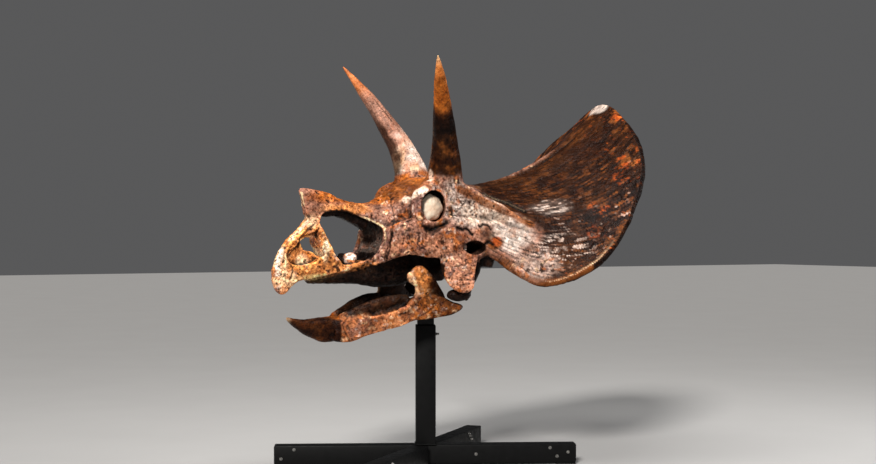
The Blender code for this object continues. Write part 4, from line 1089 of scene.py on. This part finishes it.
# ==== materials ====
class Nodes:
    """Short calls for one material's nodes."""

    def __init__(self, name):
        self.material = bpy.data.materials.new(name)
        self.material.use_nodes = True
        self.tree = self.material.node_tree
        self.shader = self.tree.nodes["Principled BSDF"]
        self.place = self.add("ShaderNodeTexCoord").outputs["Object"]

    def add(self, kind, **settings):
        node = self.tree.nodes.new(kind)
        for key, value in settings.items():
            setattr(node, key, value)
        return node

    def link(self, source, target):
        self.tree.links.new(source, target)

    def feed(self, socket, value):
        if isinstance(value, bpy.types.NodeSocket):
            self.link(value, socket)
        else:
            socket.default_value = value

    def noise(self, scale, detail=4.0, rough=0.55, stretch=None, warp=0.0):
        node = self.add("ShaderNodeTexNoise")
        node.inputs["Scale"].default_value = scale
        node.inputs["Detail"].default_value = detail
        node.inputs["Roughness"].default_value = rough
        node.inputs["Distortion"].default_value = warp
        self.link(self.stretched(stretch), node.inputs["Vector"])
        return node.outputs["Fac"]

    def stretched(self, stretch):
        if stretch is None:
            return self.place
        mapping = self.add("ShaderNodeMapping")
        mapping.inputs["Scale"].default_value = stretch
        self.link(self.place, mapping.inputs["Vector"])
        return mapping.outputs["Vector"]

    def cells(self, scale, sway, sway_scale):
        """Distance from the walls of cells whose walls sway."""
        noise = self.add("ShaderNodeTexNoise")
        noise.inputs["Scale"].default_value = sway_scale
        self.link(self.place, noise.inputs["Vector"])
        shift = self.add("ShaderNodeVectorMath", operation="MULTIPLY_ADD")
        self.link(noise.outputs["Color"], shift.inputs[0])
        shift.inputs[1].default_value = (sway, sway, sway)
        self.link(self.place, shift.inputs[2])
        node = self.add("ShaderNodeTexVoronoi", feature="DISTANCE_TO_EDGE")
        node.inputs["Scale"].default_value = scale
        self.link(shift.outputs["Vector"], node.inputs["Vector"])
        return node.outputs["Distance"]

    def spread(self, value, low, high, out_low=0.0, out_high=1.0):
        node = self.add("ShaderNodeMapRange", interpolation_type="SMOOTHSTEP")
        self.feed(node.inputs["Value"], value)
        for key, number in (("From Min", low), ("From Max", high), ("To Min", out_low), ("To Max", out_high)):
            node.inputs[key].default_value = number
        return node.outputs["Result"]

    def sum(self, operation, a, b):
        node = self.add("ShaderNodeMath", operation=operation)
        self.feed(node.inputs[0], a)
        self.feed(node.inputs[1], b)
        return node.outputs["Value"]

    def mix(self, kind, share, a, b):
        node = self.add("ShaderNodeMix", data_type="RGBA", blend_type=kind)
        self.feed(node.inputs["Factor"], share)
        self.feed(node.inputs[6], a)
        self.feed(node.inputs[7], b)
        return node.outputs[2]

    def bump(self, height, distance, strength, under=None):
        node = self.add("ShaderNodeBump")
        node.inputs["Strength"].default_value = strength
        node.inputs["Distance"].default_value = distance
        self.feed(node.inputs["Height"], height)
        if under is not None:
            self.link(under, node.inputs["Normal"])
        return node.outputs["Normal"]

    def finish(self, colour, roughness, normal=None, **fixed):
        self.feed(self.shader.inputs["Base Color"], colour)
        self.feed(self.shader.inputs["Roughness"], roughness)
        if normal is not None:
            self.link(normal, self.shader.inputs["Normal"])
        for key, value in fixed.items():
            self.shader.inputs[key.replace("_", " ")].default_value = value
        return self.material


def bone_material(name, speckle=1.0, rough=0.30):
    """Varnished fossil bone over the painted tint, whose alpha says how strongly the speckle shows."""
    m = Nodes(name)
    painted = m.add("ShaderNodeAttribute", attribute_name="tint").outputs
    tint, shown = painted["Color"], painted["Alpha"]
    patches = m.noise(11, 5, 0.6, warp=0.4)
    grit = m.noise(85, 4, 0.7)
    dust = m.noise(260, 2, 0.6)
    light_and_dark = m.mix("MIX", m.spread(patches, 0.35, 0.68), (0.62, 0.50, 0.42, 1), (1.28, 1.20, 1.12, 1))
    shade = m.mix("MULTIPLY", 0.9, tint, light_and_dark)
    warm = m.spread(m.noise(27, 4, 0.6, warp=0.6), 0.50, 0.72, 0.0, 0.30 * speckle)
    shade = m.mix("MULTIPLY", warm, shade, (1.25, 0.72, 0.42, 1))
    dirt = m.sum("MULTIPLY", m.spread(grit, 0.50, 0.64, 0.0, 0.95 * speckle), shown)
    shade = m.mix("MULTIPLY", dirt, shade, (0.26, 0.15, 0.10, 1))
    blotch = m.sum("MULTIPLY", m.spread(m.noise(42, 4, 0.7, warp=0.5), 0.56, 0.66, 0.0, 0.8 * speckle), shown)
    shade = m.mix("MULTIPLY", blotch, shade, (0.40, 0.25, 0.17, 1))
    # pale flecks: lighter grains of the bone, partly painted glints
    pale = m.sum("MULTIPLY", m.spread(m.noise(64, 3, 0.7), 0.54, 0.66, 0.0, 0.90 * speckle), shown)
    shade = m.mix("MULTIPLY", pale, shade, (1.75, 1.70, 1.66, 1))
    crack_zone = m.spread(m.noise(7, 2), 0.44, 0.60)
    crack = m.sum("MULTIPLY", m.spread(m.cells(16, 0.05, 22), 0.004, 0.030, 1.0, 0.0), crack_zone)
    crack = m.sum("MULTIPLY", crack, m.spread(grit, 0.35, 0.6))
    shade = m.mix("MULTIPLY", m.sum("MULTIPLY", crack, 0.85), shade, (0.10, 0.06, 0.05, 1))
    height = m.sum("SUBTRACT", m.sum("ADD", m.sum("MULTIPLY", grit, 0.55), m.sum("MULTIPLY", dust, 0.18)),
                   m.sum("MULTIPLY", crack, 0.6))
    normal = m.bump(height, 0.0045, 0.85, m.bump(m.noise(34, 3, 0.6), 0.010, 0.7))
    gloss = m.spread(m.noise(19, 4, 0.6), 0.3, 0.7, rough - 0.06, rough + 0.22)
    return m.finish(shade, gloss, normal, Specular_IOR_Level=0.07)


def plaster_material():
    m = Nodes("cream_plaster")
    cloud = m.noise(22, 5, 0.6)
    colour = m.mix("MIX", m.spread(cloud, 0.35, 0.7), (0.92, 0.69, 0.50, 1), (1.0, 0.88, 0.70, 1))
    stain = m.spread(m.noise(55, 4, 0.7, warp=0.8), 0.56, 0.72)
    colour = m.mix("MULTIPLY", m.sum("MULTIPLY", stain, 0.7), colour, (0.70, 0.48, 0.30, 1))
    normal = m.bump(m.noise(140, 5, 0.7), 0.002, 0.8, m.bump(cloud, 0.006, 0.5))
    return m.finish(colour, 0.62, normal)


def paint_material(name):
    """Black paint on steel, slightly uneven, scuffed and dusty."""
    m = Nodes(name)
    orange_peel = m.noise(420, 2, 0.5)
    scuff = m.spread(m.noise(9, 6, 0.75, stretch=(1, 1, 3), warp=1.2), 0.62, 0.74, 0.0, 0.6)
    colour = m.mix("MIX", scuff, (0.0014, 0.0014, 0.0015, 1), (0.010, 0.0095, 0.009, 1))
    rough = m.spread(m.noise(30, 4), 0.3, 0.7, 0.42, 0.60)
    normal = m.bump(orange_peel, 0.0006, 0.6)
    return m.finish(colour, rough, normal, Specular_IOR_Level=0.14)


def zinc_material():
    """Bright plated steel of the bolts, dulled in patches."""
    m = Nodes("plated_bolt_steel")
    dull = m.noise(120, 5, 0.7)
    colour = m.mix("MIX", m.spread(dull, 0.4, 0.7), (0.30, 0.295, 0.28, 1), (0.08, 0.075, 0.07, 1))
    rough = m.spread(dull, 0.3, 0.7, 0.25, 0.55)
    return m.finish(colour, rough, m.bump(m.noise(600, 3), 0.0004, 0.6), Metallic=1.0)


def rubber_material():
    m = Nodes("foot_rubber")
    grit = m.noise(300, 4, 0.7)
    colour = m.mix("MIX", m.spread(grit, 0.45, 0.75), (0.008, 0.008, 0.008, 1), (0.035, 0.032, 0.030, 1))
    return m.finish(colour, m.spread(grit, 0.3, 0.7, 0.7, 0.9), m.bump(grit, 0.0012, 0.8))


def floor_material():
    m = Nodes("studio_floor")
    colour = m.mix("MIX", m.noise(1.4, 4), (0.46, 0.455, 0.45, 1), (0.50, 0.495, 0.49, 1))
    return m.finish(colour, 0.85)


# ==== bone pieces ====
def horn_side(x, y, z):
    foot = np.array(BROW_HORN[2][:3])
    axis = np.array(BROW_HORN[3][:3]) - foot
    return (x - foot[0]) * axis[0] + (y - foot[1]) * axis[1] + (z - foot[2]) * axis[2] > 0


def leaned(across, up, pivot_across, pivot_up, degrees):
    """Coordinates turned back about a pivot, to test them against an upright box."""
    c, s = math.cos(math.radians(degrees)), math.sin(math.radians(degrees))
    a, u = across - pivot_across, up - pivot_up
    return pivot_across + c * a + s * u, pivot_up - s * a + c * u


def cheek_frame(x, z):
    return leaned(x, z, 0.320, 1.200, 13.0)


def cranium_bones(x, y, z):
    """Which bone each place belongs to, tested in this order; x is the distance from the midline."""
    nose_y, nose_z = leaned(y, z, -0.780, 1.505, 33.0)
    cheek_x, cheek_z = cheek_frame(x, z)
    jugal_span = (cheek_x > 0.320) & (y > -0.145) & (y < 0.200) & (cheek_z > 0.95)
    under_frill = (x < 0.50) & (z < np.interp(x, (0.12, 0.20, 0.30, 0.50), (1.57, 1.49, 1.42, 1.40)))
    return (
        ("brow_horn", horn_side(x, y, z) & (z > 1.60) & (y < 0.5), True),
        ("nasal_horn", (nose_z > 1.505) & (nose_y < -0.58), False),
        ("rostral", (y < -0.880) & (z < 1.46), False),
        ("premaxillae", (y < -0.600) & (z < 1.4225), False),
        ("nasals", (y < -0.285) & (z > 1.4225), False),
        ("maxilla", (y < -0.230) & (z < 1.440), True),
        ("epijugal", jugal_span & (cheek_z < 1.090), True),
        ("jugal", jugal_span & (cheek_z < 1.330), True),
        ("quadrate", (x > 0.215) & (x < 0.50) & (y > -0.06) & (y < 0.205) & (z < 1.210), True),
        ("squamosal", (y > 0.170) & ((x - 0.175) * 1.5 > (y - 0.170) * 0.717), True),
        ("braincase", (y > 0.175) & under_frill, False),
        ("parietal", y > 0.175, False),
        ("orbital", y > -9, True),
    )


def jaw_bones(x, y, z):
    return (
        ("predentary", y < -0.600, False),
        ("dentary", y < -0.110, True),
        ("surangular", y > -9, True),
    )


def new_piece(name, bone, faces, colour):
    """One bone cut out of a carved surface, keeping the whole surface's normals so that no seam shows."""
    corners = bone.faces[faces]
    used, corners = np.unique(corners, return_inverse=True)
    mesh = bpy.data.meshes.new(name)
    mesh.from_pydata(bone.points[used].tolist(), [], corners.reshape(len(faces), -1).tolist())
    tint = mesh.attributes.new("tint", "FLOAT_COLOR", "POINT")
    rgba = np.concatenate([np.clip(colour[used], 0, 1), bone.speckle[used, None]], axis=1)
    tint.data.foreach_set("color", rgba.astype(np.float32).ravel())
    mesh.shade_smooth()
    mesh.normals_split_custom_set_from_vertices(bone.normals[used].tolist())
    return add_object(name, mesh)


def parted(bone, colour, bones):
    """The pieces of a carved surface, one for each CAD node of the bones."""
    bone.faces = read(bone.mesh.polygons, "vertices", 4, np.int64)
    middles = bone.points[bone.faces].mean(axis=1)
    jitter = bone.wander[bone.faces[:, 0]] * 0.004
    x, y, z = (np.abs(middles) * (1, 0, 0) + middles * (0, 1, 1) + jitter).T
    free = np.ones(len(middles), bool)
    pieces = []
    for name, here, two_sides in bones(x, y, z):
        mine = here & free
        free &= ~mine
        for tag, side in SIDES if two_sides else (("", 0),):
            faces = np.flatnonzero(mine & ((middles[:, 0] > 0) == (side > 0)) if side else mine)
            node = name + "_" + tag if side else name
            piece = new_piece("bone_" + node, bone, faces, colour)
            pieces.append(placed(piece, node))
    return pieces


def give(obj, material):
    obj.data.materials.clear()
    obj.data.materials.append(material)


def build_bones():
    skins = {"plain": bone_material("fossil_bone"), "horn": bone_material("fossil_horn", 0.9, 0.24)}
    cranium = Surface(fused("cranium", cranium_forms(), cranium_tools(), late_forms(), FINE_VOXEL))
    carve_cranium(cranium)
    jaw = Surface(fused("jaw", jaw_forms(), [], [], JAW_VOXEL))
    carve_jaw(jaw)
    cranium.speckle = speckle_of(cranium)
    jaw.speckle = np.full(len(jaw.points), JAW_SPECKLE)
    pieces = parted(cranium, paint_cranium(cranium), cranium_bones) + parted(jaw, paint_jaw(jaw), jaw_bones)
    for piece in pieces:
        give(piece, skins["horn" if "brow_horn" in piece.name else "plain"])


# ==== plaster discs ====
def disc_rings(bm, side):
    """Rings of the disc's domed face, its rim and its back, from the middle out."""
    x_rim, y_rim, z_mid = ORBIT_HOLE
    rings = []
    for reach in DISC_RINGS:
        back = reach > 1.0
        share = 2.0 - reach if back else reach
        x = ORBIT_FILL_SEAT + 0.004 if back else DISC_FACE - DISC_DOME * share ** 2.4
        y = y_rim - 0.008 + ORBIT_SLANT * (x - x_rim)
        ring = []
        for i in range(DISC_STEPS):
            turn = 2 * math.pi * i / DISC_STEPS
            wobble = 1 + 0.045 * math.sin(3 * turn + side) + 0.03 * math.sin(7 * turn + 2)
            across, up = (size * share * wobble for size in DISC_SIZE)
            z = z_mid - 0.007 + up * math.sin(turn)
            ring.append(bm.verts.new((side * x, y + across * math.cos(turn), z)))
        rings.append(ring)
    return rings


def orbit_lump(tag, side):
    """A domed, hand-filled plug of plaster with an uneven rim."""
    bm = bmesh.new()
    rings = disc_rings(bm, side)
    for inner, outer in zip(rings, rings[1:]):
        for i in range(DISC_STEPS):
            bm.faces.new((inner[i - 1], inner[i], outer[i], outer[i - 1]))
    bm.faces.new(rings[0])
    bm.faces.new(rings[-1])
    mesh = mesh_of(bm, "plaster disc")
    points, normals = read(mesh.vertices, "co", 3), read(mesh.vertex_normals, "vector", 3)
    lift = 0.0045 * grain(points, 0.040, 131, 3) + 0.0015 * grain(points, 0.012, 133, 2)
    points = points + normals * (lift * (np.abs(points[:, 0]) > ORBIT_FLOOR + 0.02))[:, None]
    mesh.vertices.foreach_set("co", points.astype(np.float32).ravel())
    mesh.shade_smooth()
    node = "orbit_fill_" + tag
    return placed(add_object("plaster_" + node, mesh), node)


def placed(piece, node):
    """A finished piece that stands for one CAD node."""
    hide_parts(node)
    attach(piece, "root")
    return piece


# ==== stand ====
BEAM_TURN = 63.0  # degrees from +X to the long beam
CROSS_TURN = 129.8  # degrees from +X to the crossing arms
STEEL_EDGE = 0.006  # rounding of the square tubes
BOLT_RADIUS = 0.0065
CAP_INSET = 0.007  # end caps of the beams
POST_RIM = 0.010  # wall of the post round the inner one
PIN_HOLES, PIN_HOLE_Z, PIN_HOLE_STEP = 4, 0.875, 0.055
LONG_BEAM_BOLTS = ((-0.782, 0.100), (0.743, 0.101), (0.785, 0.050),
                   (0.851, 0.074), (-0.859, 0.046), (0.299, 0.066))
FAR_BEAM_BOLTS = ((0.655, 0.100), (0.674, 0.085), (0.694, 0.062))
CLAMP_Z = 0.780


class Steel:
    """Steel shapes gathered into one mesh: black paint is material 0, plated bolts are 1, rubber is 2."""

    def __init__(self, turn=0.0):
        self.bm = bmesh.new()
        self.turn = Matrix.Rotation(math.radians(turn), 4, "Z")

    def mark(self, faces, slot):
        for face in faces:
            face.material_index = slot

    def block(self, low, high, edge=STEEL_EDGE, slot=0):
        verts = bmesh.ops.create_cube(self.bm, size=1.0)["verts"]
        bmesh.ops.scale(self.bm, vec=[b - a for a, b in zip(low, high)], verts=verts)
        bmesh.ops.translate(self.bm, vec=[(a + b) / 2 for a, b in zip(low, high)], verts=verts)
        edges = list({line for vert in verts for line in vert.link_edges})
        self.mark({face for vert in verts for face in vert.link_faces}, slot)
        bmesh.ops.bevel(self.bm, geom=edges, offset=edge, segments=3, profile=0.5, affect="EDGES")

    def round(self, place, axis, radius, depth, sides, slot=1, edge=0.0):
        """A short round or six-sided piece whose axis is a direction."""
        turn = Vector((0, 0, 1)).rotation_difference(Vector(axis)).to_matrix().to_4x4()
        verts = bmesh.ops.create_cone(self.bm, cap_ends=True, segments=sides, radius1=radius,
                                      radius2=radius - edge, depth=depth)["verts"]
        bmesh.ops.transform(self.bm, matrix=Matrix.Translation(place) @ turn, verts=verts)
        self.mark({face for vert in verts for face in vert.link_faces}, slot)

    def bolt(self, place, axis):
        """A washer, a six-sided head and the bolt's end, out along the axis."""
        place, axis = Vector(place), Vector(axis)
        for out, wide, depth, sides, edge in ((0.001, 1.55, 0.003, 28, 0.0006), (0.006, 1.0, 0.008, 6, 0.001),
                                              (0.0115, 0.55, 0.004, 18, 0.0008)):
            self.round(place + axis * out, axis, BOLT_RADIUS * wide, depth, sides, edge=edge)

    def weld(self, start, end, radius=0.0048):
        """A rippled bead between two points."""
        count = max(3, int((Vector(end) - Vector(start)).length / 0.004))
        for i in range(count):
            place = Vector(start).lerp(Vector(end), (i + 0.5) / count)
            ripple = radius * (0.92 + 0.16 * (i % 2))
            verts = bmesh.ops.create_icosphere(self.bm, subdivisions=2, radius=ripple)["verts"]
            bmesh.ops.translate(self.bm, vec=place, verts=verts)
            self.mark({face for vert in verts for face in vert.link_faces}, 0)

    def piece(self, node, materials):
        bmesh.ops.transform(self.bm, matrix=self.turn, verts=self.bm.verts[:])
        mesh = mesh_of(self.bm, node)
        for material in materials:
            mesh.materials.append(material)
        mesh.shade_smooth()
        obj = add_object("steel_" + node, mesh)
        mesh.set_sharp_from_angle(angle=math.radians(38))
        return placed(obj, node)


def node_reach(node, turn):
    """Lowest and highest places of a CAD node, read along the direction that its beam runs in."""
    back = Matrix.Rotation(math.radians(-turn), 3, "Z")
    points = [back @ vert.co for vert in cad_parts[node].data.vertices]
    return [min(p[i] for p in points) for i in range(3)], [max(p[i] for p in points) for i in range(3)]


def build_beam(node, turn, bolts, steels):
    low, high = node_reach(node, turn)
    steel = Steel(turn)
    steel.block(low, high)
    for end, inwards in ((low[0], 1), (high[0], -1)):
        if abs(end) > 0.5:
            near, far = sorted((end - inwards * 0.0012, end + inwards * 0.005))
            steel.block((near, low[1] + CAP_INSET, low[2] + CAP_INSET),
                        (far, high[1] - CAP_INSET, high[2] - CAP_INSET), 0.0008)
    for along, z in bolts:
        for face, out in ((low[1], -1), (high[1], 1)):
            steel.bolt((along, face, z), (0, out, 0))
    steel.piece(node, steels)


def build_pads(steels):
    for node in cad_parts:
        if node.startswith("stand_pad_"):
            turn = BEAM_TURN if any(tag in node for tag in ("snout", "frill", "middle")) else CROSS_TURN
            (x0, y0, _), (x1, y1, top) = node_reach(node, turn)
            steel = Steel(turn)
            steel.block((x0, y0, 0.0), (x1, y1, 0.006), 0.0015, 2)
            steel.block((x0 + 0.003, y0 + 0.003, 0.0055), (x1 - 0.003, y1 - 0.003, top), 0.0012)
            steel.piece(node, steels)


def build_posts(steels):
    low, high = node_reach("stand_post", BEAM_TURN)
    (x0, y0, foot), (x1, y1, top) = low, high
    post = Steel(BEAM_TURN)
    post.block(low, high)
    for a, b in (((x0, y0), (x1, y0)), ((x0, y1), (x1, y1)), ((x0, y0), (x0, y1)), ((x1, y0), (x1, y1))):
        post.weld((*a, foot + 0.003), (*b, foot + 0.003))
    post.block((x0 + POST_RIM, y0 + POST_RIM, top - 0.004),
               (x1 - POST_RIM, y1 - POST_RIM, top + 0.0016), 0.0015)
    post.piece("stand_post", steels)
    low, high = node_reach("stand_inner_post", BEAM_TURN)
    inner = Steel(BEAM_TURN)
    inner.block(low, high)
    for step in range(PIN_HOLES):
        for face, out in ((low[1], -1), (high[1], 1)):
            place = (0.0, face + out * 0.0006, PIN_HOLE_Z + PIN_HOLE_STEP * step)
            inner.round(place, (0, out, 0), 0.0085, 0.0014, 24, 2)
    inner.piece("stand_inner_post", steels)


def build_jaw_rods(steels):
    for tag, side in SIDES:
        node = "stand_jaw_rod_" + tag
        low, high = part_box(node)
        y, z = (low[1] + high[1]) / 2, (low[2] + high[2]) / 2
        radius = (high[2] - low[2]) / 2
        steel = Steel()
        root, tip = (low[0], high[0]) if side > 0 else (high[0], low[0])
        steel.round(((root + tip) / 2, y, z), (side, 0, 0), radius, abs(tip - root), 40, 0)
        steel.round((root + side * 0.016, y, z), (side, 0, 0), radius + 0.006, 0.014, 40, 0, edge=0.001)
        for i in range(18):
            turn, wider = 2 * math.pi * i / 18, radius + 0.004
            a = (root + side * 0.026, y + wider * math.cos(turn), z + wider * math.sin(turn))
            turn += 2 * math.pi / 18
            steel.weld(a, (a[0], y + wider * math.cos(turn), z + wider * math.sin(turn)), 0.003)
        steel.piece(node, steels)


def build_clamp_bolt(steels):
    low, high = node_reach("stand_clamp_bolt", BEAM_TURN)
    steel = Steel(BEAM_TURN)
    steel.round(((low[0] + high[0]) / 2, 0, CLAMP_Z), (1, 0, 0), 0.0062, high[0] - low[0], 28)
    steel.round((low[0] + 0.004, 0, CLAMP_Z), (1, 0, 0), 0.0105, 0.007, 6, edge=0.0008)
    for i in range(7):
        steel.round((low[0] + 0.0095 + 0.0018 * i, 0, CLAMP_Z), (1, 0, 0), 0.0070, 0.0010, 28)
    steel.piece("stand_clamp_bolt", steels)


def build_stand():
    steels = (paint_material("stand_black_paint"), zinc_material(), rubber_material())
    build_beam("stand_beam_long", BEAM_TURN, LONG_BEAM_BOLTS, steels)
    build_beam("stand_beam_far", CROSS_TURN, FAR_BEAM_BOLTS, steels)
    build_beam("stand_beam_near", CROSS_TURN, [(-a, z) for a, z in FAR_BEAM_BOLTS], steels)
    build_pads(steels)
    build_posts(steels)
    build_jaw_rods(steels)
    build_clamp_bolt(steels)


# ==== stage ====
CAMERA_PLACE = (7.6584, -4.3352, 1.39)
CAMERA_TURN = (90.0, 0.0, 60.0)
FOCAL_PIXELS = 1470.0  # focal length in pixels of the 876-pixel-wide frame
FRAME_WIDTH = 876.0
FLOOR_HALF = 40


def build_camera():
    data = bpy.data.cameras.new("camera")
    data.sensor_width = 36.0
    data.lens = data.sensor_width * FOCAL_PIXELS / FRAME_WIDTH
    camera = add_object("camera", data)
    camera.location = CAMERA_PLACE
    camera.rotation_euler = [math.radians(a) for a in CAMERA_TURN]
    bpy.context.scene.camera = camera


def light(kind, name, place, target, power, colour, **settings):
    data = bpy.data.lights.new(name, kind)
    data.energy = power
    data.color = colour
    for key, value in settings.items():
        setattr(data, key, value)
    obj = add_object(name, data)
    obj.location = place
    obj.rotation_euler = (Vector(target) - Vector(place)).to_track_quat("-Z", "Y").to_euler()


def build_lights():
    """A soft sun as the key, so that the floor stays pale far off too, and two area lamps."""
    light("SUN", "key", (4.6, -4.6, 5.4), (0.2, -0.1, 1.4), 3.6, (1.0, 0.97, 0.93), angle=math.radians(12.0))
    light("AREA", "overhead", (0.8, -0.6, 5.6), (0.2, 0.1, 1.4), 200, (1.0, 0.98, 0.95),
          shape="RECTANGLE", size=3.0, size_y=2.4)
    light("AREA", "rim", (2.6, 5.2, 3.6), (0.2, 0.5, 1.6), 110, (1, 1, 1),
          shape="RECTANGLE", size=1.4, size_y=2.4)


def build_studio():
    mesh = bpy.data.meshes.new("floor")
    bm = bmesh.new()
    bmesh.ops.create_grid(bm, x_segments=1, y_segments=1, size=FLOOR_HALF)
    bm.to_mesh(mesh)
    bm.free()
    floor = add_object("studio_floor", mesh)
    give(floor, floor_material())
    build_lights()
    world = bpy.data.worlds.new("studio")
    bpy.context.scene.world = world
    world.use_nodes = True
    background = world.node_tree.nodes["Background"].inputs
    background["Color"].default_value = (0.62, 0.62, 0.63, 1)
    background["Strength"].default_value = 0.16
    bpy.context.scene.view_settings.view_transform = "Standard"


build_camera()
build_bones()
plaster = plaster_material()
for tag, side in SIDES:
    give(orbit_lump(tag, side), plaster)
build_stand()
build_studio()
